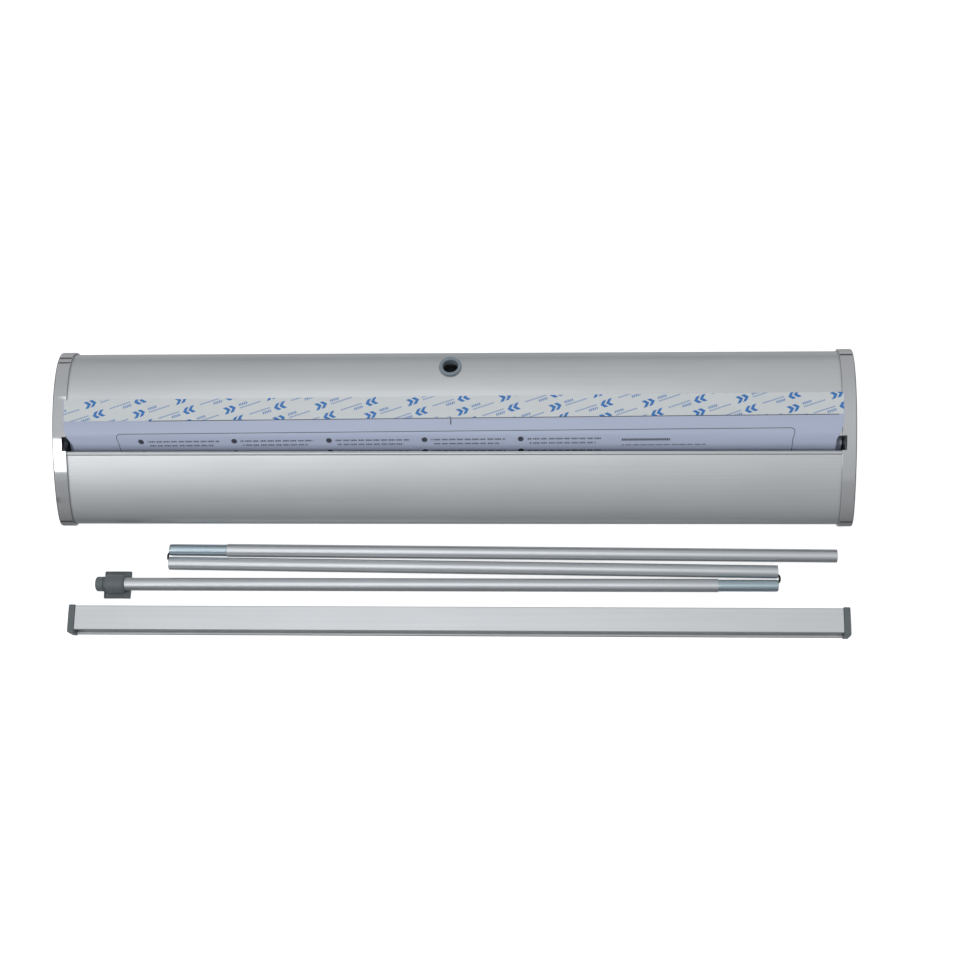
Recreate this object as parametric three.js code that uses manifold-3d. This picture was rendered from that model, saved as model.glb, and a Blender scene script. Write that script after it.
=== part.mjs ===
// Roll-up banner stand, laid out as its kit of parts: the spring-roller cassette at the back with its
// leader film drawn out, the folded three-section pole in front of it and the banner's top rail in front.
// Millimetres, +Z up, +X along the cassette, +Y to the back. The origin is on the floor, under the middle
// of the layout.
import * as THREE from "three";
import { mergeVertices } from "three/addons/utils/BufferGeometryUtils.js";
import Module from "manifold-3d";

const wasm = await Module();
wasm.setup();

// ---------------------------------------------------------------- driving dimensions
// Clearances
const GAP = 0.3; // between pieces that touch
const RUN = 0.6; // round a piece that turns or slides

// Banner and leader width, which sets the lengths of the cassette, the roller and the rail
const FILM_WIDTH = 850;

// Cassette, over its end caps. Section heights are above the floor, section places from the nose.
const END_ALLOWANCE = 14; // from the film's edge to the outside of an end cap
const NOSE_Y = -85.7; // the nose in the cassette's own Y, which the sections are drawn in
const CASSETTE_DEPTH = 192.5;
const CASSETTE_HEIGHT = 88.2;
const CREST_FROM_NOSE = 135.7;
const NOSE_HEIGHT = 24;
const REAR_WALL_HEIGHT = 48;
const SKIRT_HEIGHT = 4; // bottom of the end caps
const SHELL_WALL = 1.8;
const SHELL_INSET = 2.5; // shell below the end cap's rim
const SHELL_IN_CAP = 6.5; // how far a shell runs into its end cap
const BASE_PLATE_THICKNESS = 2.5;

// Slot that the banner comes out of
const SLOT_FROM_NOSE = 71.7;
const SLOT_WIDTH = 15;
const LIP_BEAD_RADIUS = 1.9;
const REAR_LIP_DEPTH = 7;

// End caps
const CAP_BAND = 15.5;
const CAP_FACE = 2.5;
const CAP_BEVEL = 1.2;
const CAP_NOTCH = 4.8; // how far the slot runs into the band
const SCREW_HEAD_RADIUS = 3.6;
const SCREW_RADIUS = 1.8;

// Roller, with the leader wound on it
const ROLLER_RADIUS = 16;
const ROLLER_WALL = 1.6;
const ROLLER_FROM_NOSE = 91.7;
const ROLLER_HEIGHT = 40;
const WOUND_FILM = 1.5;
const AXLE_RADIUS = 4;
const AXLE_REACH = 33; // from outside the bearing plate to inside the roller plug
const PLUG_LENGTH = 20;
const SPRING_LENGTH = 280;
const SPRING_RADIUS = 9;
const BEARING_PLATE = 2;

// Leader film and the adhesive strip on its free edge
const FILM_THICKNESS = 0.6;
const TAPE_WIDTH = 24;
const TAPE_THICKNESS = 0.5;
const TAPE_SHORT = 1; // tape ends short of the film at each side

// Pole socket
const SOCKET_FROM_REAR = 27.2;
const SOCKET_WALL = 2;
const SOCKET_CLEARANCE = 1.1; // all round the pole
const GROMMET_FLANGE = 4.2; // wider than the bore, all round
const GROMMET_PROUD = 1.8;
const SOCKET_FOOT = 40;
const SOCKET_FOOT_HEIGHT = 12;

// Feet, and the locking pin clipped under the base
const FOOT_RADIUS = 9;
const FOOT_FROM_END = 45;
const FOOT_FROM_EDGE = 30;
const PIN_RADIUS = 1.6;
const PIN_LENGTH = 70;
const PIN_X = 300;
const PIN_RING = 7;
const CLIP_LENGTH = 8;

// Pole: three tubes, two steel ferrules, an elastic cord and a plastic head
const TUBE_RADIUS = 7.25;
const TUBE_WALL = 1.2;
const TUBE_LENGTH = 676;
const FERRULE_SMALLER = 0.75; // in radius, than the tube
const FERRULE_WALL = 0.6;
const FERRULE_OUT = 65;
const FERRULE_IN = 40;
const FERRULE_SIDES = 26;
const FERRULE_PRESS_GAP = 0.4; // between the necked ferrule and the tube's bore
const CORD_RADIUS = 1.3;
const CORD_CLEARANCE = 0.45; // between the cord and the ferrule's neck
const CORD_MOUTH = 6; // how far a bend reaches into a tube
const CORD_BULGE = 3; // how far a bend stands out of the tubes
const ANCHOR_LENGTH = 10;
const ANCHOR_FROM_END = 30;
const FOLD_GAP = 0.9; // between two tubes at the fold that joins them

// Places of the pole's folds, before the layout is centred
const POLE_LEFT_X = -317.5;
const POLE_FROM_NOSE = 24.6; // from the cassette's nose to the bottom tube's axis at the left fold
const YAW_BOTTOM = THREE.MathUtils.degToRad(-0.43);
const YAW_MIDDLE = THREE.MathUtils.degToRad(-0.69);
const YAW_TOP = THREE.MathUtils.degToRad(0.02);

// Pole head
const HEAD_STUB_LARGER = 1.05; // in radius, than the tube
const HEAD_STUB_LENGTH = 9;
const HEAD_BARREL_LARGER = 3.15; // in radius, than the tube
const HEAD_BARREL_START = 11.8;
const HEAD_LENGTH = 33;
const HEAD_GRIP = 17; // how far the tube goes in
const WING_START = 8;
const WING_LENGTH = 30;
const WING_HALF_WIDTH = 15.3;
const WING_THICKNESS = 3.2;

// Top rail
const RAIL_SHORTER = 6; // than the banner is wide
const RAIL_X = 4.6;
const RAIL_FROM_POLE = 34.6; // from the top tube's axis at the right fold to the rail's rear side
const RAIL_HEIGHT = 18;
const RAIL_FACE = 27;
const RAIL_DEPTH = 30;
const RAIL_WALL = 2.2;
const RAIL_HOOK = 1.4;
const RAIL_CAP = 7.5;
const RAIL_CAP_CHAMFER = 2.7;
const RAIL_CAP_PROUD = 1;
const RAIL_CAP_PLUG = 15;
const RAIL_CAP_SKIRT = 2;

// ---------------------------------------------------------------- derived places
const nose = NOSE_Y;
const rear = nose + CASSETTE_DEPTH;
const foldSpacing = 2 * TUBE_RADIUS + FOLD_GAP; // between the axes of two tubes at a fold
const poleRearY = nose - POLE_FROM_NOSE;
const railRearY = poleRearY - 2 * foldSpacing - RAIL_FROM_POLE;
const railFront = railRearY - RAIL_DEPTH - RAIL_CAP_PROUD;
const layoutShift = -(rear + railFront) / 2;
const halfLength = FILM_WIDTH / 2 + END_ALLOWANCE;
const bandStart = halfLength - CAP_BAND;
const shellHalf = bandStart + SHELL_IN_CAP;
const slotFront = nose + SLOT_FROM_NOSE;
const slotRear = slotFront + SLOT_WIDTH;
const shellBottom = SKIRT_HEIGHT + SHELL_INSET;
const basePlateBottom = shellBottom + SHELL_WALL + GAP;
const basePlateTop = basePlateBottom + BASE_PLATE_THICKNESS;
const rollerY = nose + ROLLER_FROM_NOSE;
const rollRadius = ROLLER_RADIUS + GAP + WOUND_FILM;
const bearingStart = FILM_WIDTH / 2 + 2.5;
const socketBore = TUBE_RADIUS + SOCKET_CLEARANCE;
const socketY = rear - SOCKET_FROM_REAR;

// ---------------------------------------------------------------- colours and finishes
const finish = (color, roughness, metalness) =>
  new THREE.MeshStandardMaterial({ color, roughness, metalness });
const anodised = finish(0xb9bec1, 0.42, 0.9);
const chrome = finish(0xd7dadc, 0.08, 1);
const zinc = finish(0x9fb0b8, 0.3, 1);
const steel = finish(0x8f9396, 0.35, 1);
const railSilver = finish(0xced3d6, 0.45, 0.85);
const greyPlastic = finish(0x666e71, 0.5, 0);
const grommetPlastic = finish(0x84929b, 0.4, 0);
const rubber = finish(0x222324, 0.8, 0);
const film = finish(0xaab4d2, 0.35, 0);
const liner = finish(0xcfd4d6, 0.5, 0);
const cordBlack = finish(0x17181a, 0.85, 0);

// ---------------------------------------------------------------- geometry helpers
// A closed geometry as a manifold solid, turned right way out if its profile ran backwards.
function toSolid(geometry) {
  const bare = (geometry.index ? geometry.toNonIndexed() : geometry.clone());
  bare.deleteAttribute("normal");
  bare.deleteAttribute("uv");
  const merged = mergeVertices(bare, 1e-4);
  const corners = merged.index.array;
  const keep = [];
  for (let i = 0; i < corners.length; i += 3) {
    const [a, b, c] = [corners[i], corners[i + 1], corners[i + 2]];
    if (a !== b && b !== c && c !== a) keep.push(a, b, c);
  }
  const build = (order) =>
    new wasm.Manifold(
      new wasm.Mesh({
        numProp: 3,
        vertProperties: new Float32Array(merged.attributes.position.array),
        triVerts: new Uint32Array(order),
      }),
    );
  const solid = build(keep);
  return solid.volume() > 0 ? solid : build(keep.reverse());
}

// A manifold solid back as a geometry.
function toGeometry(solid) {
  const mesh = solid.getMesh();
  const geometry = new THREE.BufferGeometry();
  geometry.setAttribute("position", new THREE.BufferAttribute(new Float32Array(mesh.vertProperties), 3));
  geometry.setIndex(new THREE.BufferAttribute(new Uint32Array(mesh.triVerts), 1));
  return geometry;
}

// A section drawn in (Y, Z) and run along X from one place to another.
const alongX = new THREE.Matrix4().makeBasis(
  new THREE.Vector3(0, 1, 0),
  new THREE.Vector3(0, 0, 1),
  new THREE.Vector3(1, 0, 0),
);
function prismX(points, from, to, holes = []) {
  const shape = new THREE.Shape(points);
  shape.holes = holes.map((hole) => new THREE.Path(hole));
  const geometry = new THREE.ExtrudeGeometry(shape, { depth: to - from, bevelEnabled: false });
  geometry.applyMatrix4(alongX);
  geometry.translate(from, 0, 0);
  return toSolid(geometry);
}

// A block between two corners.
function block(low, high) {
  const size = high.map((value, i) => value - low[i]);
  const geometry = new THREE.BoxGeometry(...size);
  geometry.translate(...low.map((value, i) => value + size[i] / 2));
  return toSolid(geometry);
}

// A profile of [distance along, radius] turned about the X axis, or about Z.
function turnedX(profile, segments = 24) {
  const outline = profile.map(([along, radius]) => new THREE.Vector2(radius, along));
  const geometry = new THREE.LatheGeometry(outline, segments);
  geometry.rotateZ(-Math.PI / 2);
  return toSolid(geometry);
}
const turnedZ = (profile, segments) =>
  toSolid(toGeometry(turnedX(profile, segments)).rotateY(-Math.PI / 2));
const ring = (from, to, inner, outer) => [
  [from, inner],
  [to, inner],
  [to, outer],
  [from, outer],
  [from, inner],
];
const rod = (from, to, radius) => [
  [from, 0],
  [from, radius],
  [to, radius],
  [to, 0],
];

const moved = (solid, x, y, z) => toSolid(toGeometry(solid).translate(x, y, z));

// A line of points moved sideways to its left, with mitred corners.
function offsetLine(points, distance, closed = false) {
  const count = points.length;
  const at = (i) => (closed ? points[(i + count) % count] : points[Math.max(0, Math.min(count - 1, i))]);
  return points.map((point, i) => {
    const before = new THREE.Vector2().subVectors(point, at(i - 1));
    const after = new THREE.Vector2().subVectors(at(i + 1), point);
    if (before.length() < 1e-9) before.copy(after);
    if (after.length() < 1e-9) after.copy(before);
    const left = [before, after].map((d) => new THREE.Vector2(-d.y, d.x).normalize());
    const mitre = left[0].clone().add(left[1]).normalize();
    return point.clone().addScaledVector(mitre, distance / mitre.dot(left[0]));
  });
}

// A strip of sheet that follows a line, with its thickness to the line's left.
const strip = (line, thickness) => [...line, ...offsetLine(line, thickness).reverse()];

function addMesh(parent, name, solid, material) {
  const mesh = new THREE.Mesh(toGeometry(solid), material);
  mesh.name = name;
  parent.add(mesh);
  return mesh;
}

// ---------------------------------------------------------------- cassette section
// The end cap's rim, anticlockwise seen from +X: from the bottom at the nose, along the floor side to
// the back, up the rear wall, over the crest and down the long front slope to the nose again.
const crest = nose + CREST_FROM_NOSE;
function rimCurve() {
  const curve = new THREE.Path();
  curve.moveTo(nose + 16, SKIRT_HEIGHT);
  curve.lineTo(rear - 12, SKIRT_HEIGHT);
  curve.bezierCurveTo(rear - 5, SKIRT_HEIGHT, rear, SKIRT_HEIGHT + 5, rear, SKIRT_HEIGHT + 12);
  curve.lineTo(rear, REAR_WALL_HEIGHT);
  const shoulder = (CASSETTE_HEIGHT - REAR_WALL_HEIGHT) * 0.8;
  const crestRun = (rear - crest) * 0.6;
  curve.bezierCurveTo(rear, REAR_WALL_HEIGHT + shoulder, crest + crestRun, CASSETTE_HEIGHT, crest, CASSETTE_HEIGHT);
  const slopeRun = (crest - nose) * 0.41;
  const noseRise = (CASSETTE_HEIGHT - NOSE_HEIGHT) * 0.31;
  curve.bezierCurveTo(crest - slopeRun, CASSETTE_HEIGHT, nose, NOSE_HEIGHT + noseRise, nose, NOSE_HEIGHT);
  const noseDrop = NOSE_HEIGHT - SKIRT_HEIGHT;
  curve.bezierCurveTo(nose, NOSE_HEIGHT - noseDrop * 0.6, nose + 6, SKIRT_HEIGHT, nose + 16, SKIRT_HEIGHT);
  return curve;
}
// Points along the rim, without the repeated end or the middles of its straight runs.
const rim = rimCurve()
  .getPoints(14)
  .filter((point, i, all) => i === 0 || point.distanceTo(all[i - 1]) > 0.05)
  .slice(0, -1);
const section = (inset) => offsetLine(rim, inset, true);

// The top surface of the section at a place across it.
function surfaceAt(y, inset) {
  const line = section(inset);
  for (let i = 0; i < line.length; i++) {
    const [a, b] = [line[i], line[(i + 1) % line.length]];
    if (a.y > NOSE_HEIGHT && a.x >= y && b.x < y) {
      const t = (y - a.x) / (b.x - a.x);
      return { z: a.y + t * (b.y - a.y), slope: (b.y - a.y) / (b.x - a.x) };
    }
  }
  throw new Error("no surface at " + y);
}

// ---------------------------------------------------------------- cassette pieces
const root = new THREE.Group();
const cassette = new THREE.Group();
cassette.position.y = layoutShift;
root.add(cassette);

const outer = section(SHELL_INSET);
const rearFlangeEnd = rollerY + 20;
const frontFlangeEnd = rollerY - 20;

function rearShell() {
  const top = surfaceAt(slotRear, SHELL_INSET);
  const line = outer.filter(
    (p) => (p.y < NOSE_HEIGHT && p.x > rearFlangeEnd) || (p.y >= NOSE_HEIGHT && p.x > slotRear + 1),
  );
  const start = new THREE.Vector2(rearFlangeEnd, shellBottom);
  const edge = new THREE.Vector2(slotRear, top.z);
  const turnIn = new THREE.Vector2(slotRear, top.z - REAR_LIP_DEPTH);
  const solid = prismX(strip([start, ...line, edge, turnIn], SHELL_WALL), -shellHalf, shellHalf);
  return solid.subtract(grommetHole());
}

function frontShell() {
  const top = surfaceAt(slotFront, SHELL_INSET);
  const line = outer.filter((p) => p.x < slotFront - 1 && !(p.y < shellBottom + 1 && p.x > frontFlangeEnd));
  const startAt = line.findIndex((p, i) => i > 0 && p.y > line[i - 1].y + 20);
  const ordered = startAt > 0 ? [...line.slice(startAt), ...line.slice(0, startAt)] : line;
  const edge = new THREE.Vector2(slotFront, top.z);
  const end = new THREE.Vector2(frontFlangeEnd, shellBottom);
  const wall = prismX(strip([edge, ...ordered, end], SHELL_WALL), -shellHalf, shellHalf);
  const beadHalf = bandStart - GAP;
  const bead = turnedX(rod(-beadHalf, beadHalf, LIP_BEAD_RADIUS), 20);
  return wall.add(moved(bead, 0, slotFront - LIP_BEAD_RADIUS, top.z - LIP_BEAD_RADIUS + 0.4));
}

// The grommet stands square to the shell, so its hole is turned by the shell's slope there.
const socketSurface = surfaceAt(socketY, SHELL_INSET);
const socketTilt = Math.atan(socketSurface.slope);
const onShell = (solid) =>
  toSolid(toGeometry(solid).rotateX(socketTilt).translate(0, socketY, socketSurface.z));
function grommetHole() {
  return onShell(turnedZ(rod(-12, 12, socketBore + SOCKET_WALL + GAP), 40));
}
function grommet() {
  const neck = socketBore + SOCKET_WALL;
  const flange = socketBore + GROMMET_FLANGE;
  return onShell(
    turnedZ(
      [
        [-SHELL_WALL - 3, socketBore],
        [GROMMET_PROUD - 0.6, socketBore],
        [GROMMET_PROUD, socketBore + 0.7],
        [GROMMET_PROUD, flange - 1.4],
        [GROMMET_PROUD - 1, flange],
        [GAP, flange],
        [GAP, neck],
        [-SHELL_WALL - 3, neck],
        [-SHELL_WALL - 3, socketBore],
      ],
      40,
    ),
  );
}

function endCap(side) {
  const [inside, outside] = [bandStart, halfLength];
  const bevelled = new THREE.ExtrudeGeometry(new THREE.Shape(rim), {
    depth: CAP_BAND - CAP_BEVEL,
    bevelThickness: CAP_BEVEL,
    bevelSize: CAP_BEVEL,
    bevelOffset: -CAP_BEVEL,
    bevelSegments: 1,
  });
  bevelled.applyMatrix4(alongX);
  bevelled.translate(inside, 0, 0);
  const hollow = prismX(section(SHELL_INSET - GAP), inside - 5, outside - CAP_FACE);
  const overlong = block([inside - 5, nose - 5, -5], [inside, rear + 5, CASSETTE_HEIGHT + 5]);
  const top = CASSETTE_HEIGHT + 5;
  const notch = block([inside - 1, slotFront, CASSETTE_HEIGHT / 2], [inside + CAP_NOTCH, slotRear, top]);
  let cap = toSolid(bevelled).subtract(overlong).subtract(hollow).subtract(notch);
  for (const place of screwPlaces) {
    cap = cap.subtract(moved(turnedX(rod(-9, 9, SCREW_RADIUS + GAP)), outside, ...place));
    cap = cap.subtract(moved(turnedX(rod(-1.2, 5, SCREW_HEAD_RADIUS + GAP)), outside, ...place));
  }
  return mirrored(cap, side);
}
// A solid made for the +X end, turned over for the other end.
function mirrored(solid, side) {
  return side > 0 ? solid : toSolid(toGeometry(solid).scale(-1, 1, 1));
}
const screwPlaces = [
  [nose + 42, 26],
  [rear - 42, 62],
];

const bearingPlate = (side) => {
  const outline = section(SHELL_INSET + SHELL_WALL + RUN);
  const plate = prismX(outline, bearingStart, bearingStart + BEARING_PLATE);
  const bore = moved(turnedX(rod(-40, 40, AXLE_RADIUS + GAP)), bearingStart, rollerY, ROLLER_HEIGHT);
  // The slot's two lips hang lower than the rest of the shells, so the plate is cut away below them.
  const lipBottom = surfaceAt(slotRear, SHELL_INSET).z - REAR_LIP_DEPTH - RUN;
  const lips = block(
    [bearingStart - 1, slotFront - 3 * LIP_BEAD_RADIUS, lipBottom],
    [bearingStart + BEARING_PLATE + 1, slotRear + SHELL_WALL + RUN, CASSETTE_HEIGHT],
  );
  let drilled = plate.subtract(bore).subtract(lips);
  for (const place of screwPlaces) {
    drilled = drilled.subtract(moved(turnedX(rod(-40, 40, SCREW_RADIUS + GAP)), bearingStart, ...place));
  }
  return mirrored(drilled, side);
};

const capScrew = (side, place) => {
  const head = turnedX([
    [0, 0],
    [0, SCREW_HEAD_RADIUS - 0.5],
    [-0.4, SCREW_HEAD_RADIUS],
    [-0.9, SCREW_HEAD_RADIUS],
    [-0.9, SCREW_RADIUS],
    [bearingStart - halfLength - 3, SCREW_RADIUS],
    [bearingStart - halfLength - 3, 0],
  ]);
  return mirrored(moved(head, halfLength, ...place), side);
};

addMesh(cassette, "rear_shell", rearShell(), anodised);
addMesh(cassette, "front_shell", frontShell(), anodised);
const basePlate = block(
  [-bearingStart + GAP, nose + 18, basePlateBottom],
  [bearingStart - GAP, rear - 16, basePlateTop],
);
addMesh(cassette, "base_plate", basePlate, steel);
const sides = { left: -1, right: 1 };
for (const [word, side] of Object.entries(sides)) {
  addMesh(cassette, `${word}_end_cap`, endCap(side), chrome);
  addMesh(cassette, `${word}_bearing_plate`, bearingPlate(side), steel);
  screwPlaces.forEach((place, i) =>
    addMesh(cassette, `${word}_cap_screw_${i + 1}`, capScrew(side, place), zinc),
  );
}

// Pole socket: grommet in the shell, steel tube below it and a foot that holds the tube on the base.
addMesh(cassette, "pole_grommet", grommet(), grommetPlastic);
const socketTop = socketSurface.z - SHELL_WALL - 11;
const socketOuter = socketBore + SOCKET_WALL;
const socketTube = addMesh(
  cassette,
  "pole_socket_tube",
  turnedZ(ring(basePlateTop + GAP, socketTop, socketBore, socketOuter), 32),
  steel,
);
socketTube.position.y = socketY;
const footTop = basePlateTop + GAP + SOCKET_FOOT_HEIGHT;
const socketFoot = block(
  [-SOCKET_FOOT / 2, -SOCKET_FOOT / 2 + 8, basePlateTop + GAP],
  [SOCKET_FOOT / 2, socketOuter + 3, footTop],
).subtract(turnedZ(rod(0, CASSETTE_HEIGHT, socketOuter + GAP), 32));
addMesh(cassette, "pole_socket_foot", socketFoot, greyPlastic).position.y = socketY;

// Rubber feet under the shells' bottom flanges.
const footShape = turnedZ([
  [0, 0],
  [0, FOOT_RADIUS - 1],
  [1, FOOT_RADIUS],
  [shellBottom - GAP, FOOT_RADIUS],
  [shellBottom - GAP, 0],
]);
for (const [word, side] of Object.entries(sides)) {
  const x = side * (halfLength - FOOT_FROM_END);
  addMesh(cassette, `${word}_front_foot`, footShape, rubber).position.set(x, nose + FOOT_FROM_EDGE, 0);
  addMesh(cassette, `${word}_rear_foot`, footShape, rubber).position.set(x, rear - FOOT_FROM_EDGE, 0);
}

// Locking pin, kept in two clips under the base plate.
const pinZ = basePlateBottom - GAP - PIN_RADIUS - RUN - 0.6;
const clipOuter = basePlateBottom - GAP - pinZ;
const pinHole = PIN_RADIUS + RUN;
const clipBody = turnedX(rod(0, CLIP_LENGTH, clipOuter), 28)
  .subtract(turnedX(rod(-1, CLIP_LENGTH + 1, pinHole), 28))
  .subtract(block([-1, -pinHole * 0.8, -clipOuter - 1], [CLIP_LENGTH + 1, pinHole * 0.8, 0]));
for (const [i, x] of [PIN_X + 12, PIN_X + PIN_LENGTH - 12 - CLIP_LENGTH].entries()) {
  addMesh(cassette, `pin_clip_${i + 1}`, clipBody, greyPlastic).position.set(x, rollerY, pinZ);
}
const pinShaft = turnedX([
  [0, 0],
  [0, PIN_RADIUS],
  [PIN_LENGTH - 2, PIN_RADIUS],
  [PIN_LENGTH, PIN_RADIUS * 0.4],
  [PIN_LENGTH, 0],
]);
const pinRing = new THREE.TorusGeometry(PIN_RING, PIN_RADIUS * 0.8, 10, 28).translate(-PIN_RING, 0, 0);
addMesh(cassette, "locking_pin", pinShaft.add(toSolid(pinRing)), zinc).position.set(PIN_X, rollerY, pinZ);

// ---------------------------------------------------------------- roller
const roller = new THREE.Group();
roller.position.set(0, rollerY, ROLLER_HEIGHT);
cassette.add(roller);
const rollerHalf = FILM_WIDTH / 2 + 1;
const rollerBore = ROLLER_RADIUS - ROLLER_WALL;
addMesh(roller, "roller_tube", turnedX(ring(-rollerHalf, rollerHalf, rollerBore, ROLLER_RADIUS)), anodised);
const wound = ring(-FILM_WIDTH / 2, FILM_WIDTH / 2, ROLLER_RADIUS + GAP, rollRadius);
addMesh(roller, "leader_roll", turnedX(wound), film);
for (const [word, side] of Object.entries(sides)) {
  const plug = ring(rollerHalf - PLUG_LENGTH, rollerHalf, AXLE_RADIUS + GAP, rollerBore - GAP);
  addMesh(roller, `${word}_roller_plug`, mirrored(turnedX(plug), side), greyPlastic);
}
const axleEnd = bearingStart + BEARING_PLATE + 3;
addMesh(roller, "left_axle", mirrored(turnedX(rod(axleEnd - AXLE_REACH, axleEnd, AXLE_RADIUS)), -1), steel);
const springEnd = rollerHalf - PLUG_LENGTH - 5;
const shaft = turnedX(rod(springEnd - SPRING_LENGTH - 20, axleEnd, AXLE_RADIUS));
addMesh(roller, "tension_shaft", shaft, steel);
const spring = ring(springEnd - SPRING_LENGTH, springEnd, AXLE_RADIUS + GAP, SPRING_RADIUS);
addMesh(roller, "roller_spring", turnedX(spring), steel);

// ---------------------------------------------------------------- leader film and adhesive strip
// The film leaves the roll up its front side, passes close behind the front lip and leans back over the
// rear lip, clear of the end caps' rims.
const filmStart = rollerY - rollRadius - GAP - FILM_THICKNESS;
const overRim = surfaceAt(slotRear, 0).z;
const lipRise = overRim - 18.6 - ROLLER_HEIGHT;
const slopeClear = 2.6;
const filmLine = new THREE.CatmullRomCurve3(
  [
    [filmStart, ROLLER_HEIGHT],
    [filmStart - 0.3, ROLLER_HEIGHT + 0.6 * lipRise],
    [slotFront + 2.1, ROLLER_HEIGHT + lipRise],
    [slotRear - 9.4, overRim - 10.6],
    [slotRear - 4.4, overRim - 3.2],
    [slotRear + 0.2, overRim + 1.9],
    [slotRear + 4.4, overRim + 3.5],
    [slotRear + 9, surfaceAt(slotRear + 9, 0).z + slopeClear],
    [slotRear + 18.5, surfaceAt(slotRear + 18.5, 0).z + slopeClear],
    [slotRear + 30, surfaceAt(slotRear + 30, 0).z + slopeClear + 1.2],
    [slotRear + 41.2, surfaceAt(slotRear + 41.2, 0).z + slopeClear + 3],
  ].map(([y, z]) => new THREE.Vector3(0, y, z)),
);
const filmPoints = filmLine.getSpacedPoints(48).map((p) => new THREE.Vector2(p.y, p.z));
const filmHalf = FILM_WIDTH / 2;
addMesh(cassette, "leader_film", prismX(strip(filmPoints, -FILM_THICKNESS), -filmHalf, filmHalf), film);

// The strip lies on the last stretch of the film, up to its free edge.
let covered = 0;
let first = filmPoints.length - 1;
while (covered < TAPE_WIDTH) {
  covered += filmPoints[first].distanceTo(filmPoints[first - 1]);
  first -= 1;
}
const underTape = offsetLine(filmPoints.slice(first), GAP);
const tapeHalf = filmHalf - TAPE_SHORT;
addMesh(cassette, "adhesive_tape", prismX(strip(underTape, TAPE_THICKNESS), -tapeHalf, tapeHalf), liner);

// ---------------------------------------------------------------- pole
// Each section is built along +X from its left mouth, and then turned to its own small angle.
const pole = new THREE.Group();
pole.position.set(0, layoutShift, TUBE_RADIUS);
root.add(pole);
const leftFold = new THREE.Vector2(POLE_LEFT_X, poleRearY);
const tubeBore = TUBE_RADIUS - TUBE_WALL;
const tubeSolid = turnedX([
  [0.6, tubeBore],
  [TUBE_LENGTH - 0.6, tubeBore],
  [TUBE_LENGTH, tubeBore + 0.4],
  [TUBE_LENGTH, TUBE_RADIUS - 0.5],
  [TUBE_LENGTH - 0.5, TUBE_RADIUS],
  [0.5, TUBE_RADIUS],
  [0, TUBE_RADIUS - 0.5],
  [0, tubeBore + 0.4],
  [0.6, tubeBore],
]);
// A ferrule from its open tip at 0 to where it ends inside its tube, which starts at FERRULE_OUT.
// It is necked down to fit the tube's bore.
const ferruleRadius = TUBE_RADIUS - FERRULE_SMALLER;
const ferruleBore = ferruleRadius - FERRULE_WALL;
const neckRadius = tubeBore - FERRULE_PRESS_GAP;
const neckBore = neckRadius - FERRULE_WALL;
const cordOffAxis = neckBore - CORD_RADIUS - CORD_CLEARANCE;
const ferruleProfile = [
  [0, ferruleBore],
  [FERRULE_OUT - 3, ferruleBore],
  [FERRULE_OUT - 1, neckBore],
  [FERRULE_OUT + FERRULE_IN, neckBore],
  [FERRULE_OUT + FERRULE_IN, neckRadius],
  [FERRULE_OUT - GAP, neckRadius],
  [FERRULE_OUT - GAP, ferruleRadius],
  [1.5, ferruleRadius],
  [0, ferruleRadius - 0.4],
  [0, ferruleBore],
];
const ferruleSolid = turnedX(ferruleProfile, FERRULE_SIDES);
const cordRun = (from, to) => turnedX(rod(from, to, CORD_RADIUS), 12);
const anchorSolid = turnedX(rod(0, ANCHOR_LENGTH, tubeBore - GAP), 20);

const sectionGroup = (x, y, yaw) => {
  const group = new THREE.Group();
  group.position.set(x, y, 0);
  group.rotation.z = yaw;
  pole.add(group);
  return group;
};

// Bottom section: its ferrule points to the left fold.
const bottom = sectionGroup(leftFold.x, leftFold.y, YAW_BOTTOM);
addMesh(bottom, "bottom_ferrule", ferruleSolid, zinc);
addMesh(bottom, "pole_bottom_tube", tubeSolid, anodised).position.x = FERRULE_OUT;
const bottomEnd = FERRULE_OUT + TUBE_LENGTH - ANCHOR_FROM_END;
const bottomCord = cordRun(CORD_MOUTH + GAP, bottomEnd - GAP);
addMesh(bottom, "cord_in_bottom_tube", bottomCord, cordBlack).position.y = -cordOffAxis;
addMesh(bottom, "bottom_cord_anchor", anchorSolid, greyPlastic).position.x = bottomEnd;

// Middle section: a plain tube between the two folds.
const middle = sectionGroup(leftFold.x, leftFold.y - foldSpacing, YAW_MIDDLE);
addMesh(middle, "pole_middle_tube", tubeSolid, anodised);
const throughTurn = Math.atan2(2 * cordOffAxis, TUBE_LENGTH);
const middleCord = addMesh(
  middle,
  "cord_in_middle_tube",
  cordRun(CORD_MOUTH + 1, TUBE_LENGTH - CORD_MOUTH - 1),
  cordBlack,
);
middleCord.position.y = cordOffAxis;
middleCord.rotation.z = -throughTurn;

// Top section: its ferrule points to the right fold and its head is at the left.
const rightFold = new THREE.Vector2(
  leftFold.x + TUBE_LENGTH * Math.cos(YAW_MIDDLE),
  leftFold.y - foldSpacing + TUBE_LENGTH * Math.sin(YAW_MIDDLE),
);
const top = sectionGroup(rightFold.x, rightFold.y - foldSpacing, YAW_TOP + Math.PI);
addMesh(top, "top_ferrule", ferruleSolid, zinc);
addMesh(top, "pole_top_tube", tubeSolid, anodised).position.x = FERRULE_OUT;
const topEnd = FERRULE_OUT + TUBE_LENGTH - ANCHOR_FROM_END;
const topCord = cordRun(CORD_MOUTH + GAP, topEnd - GAP);
addMesh(top, "cord_in_top_tube", topCord, cordBlack).position.y = -cordOffAxis;
addMesh(top, "top_cord_anchor", anchorSolid, greyPlastic).position.x = topEnd;

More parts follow.
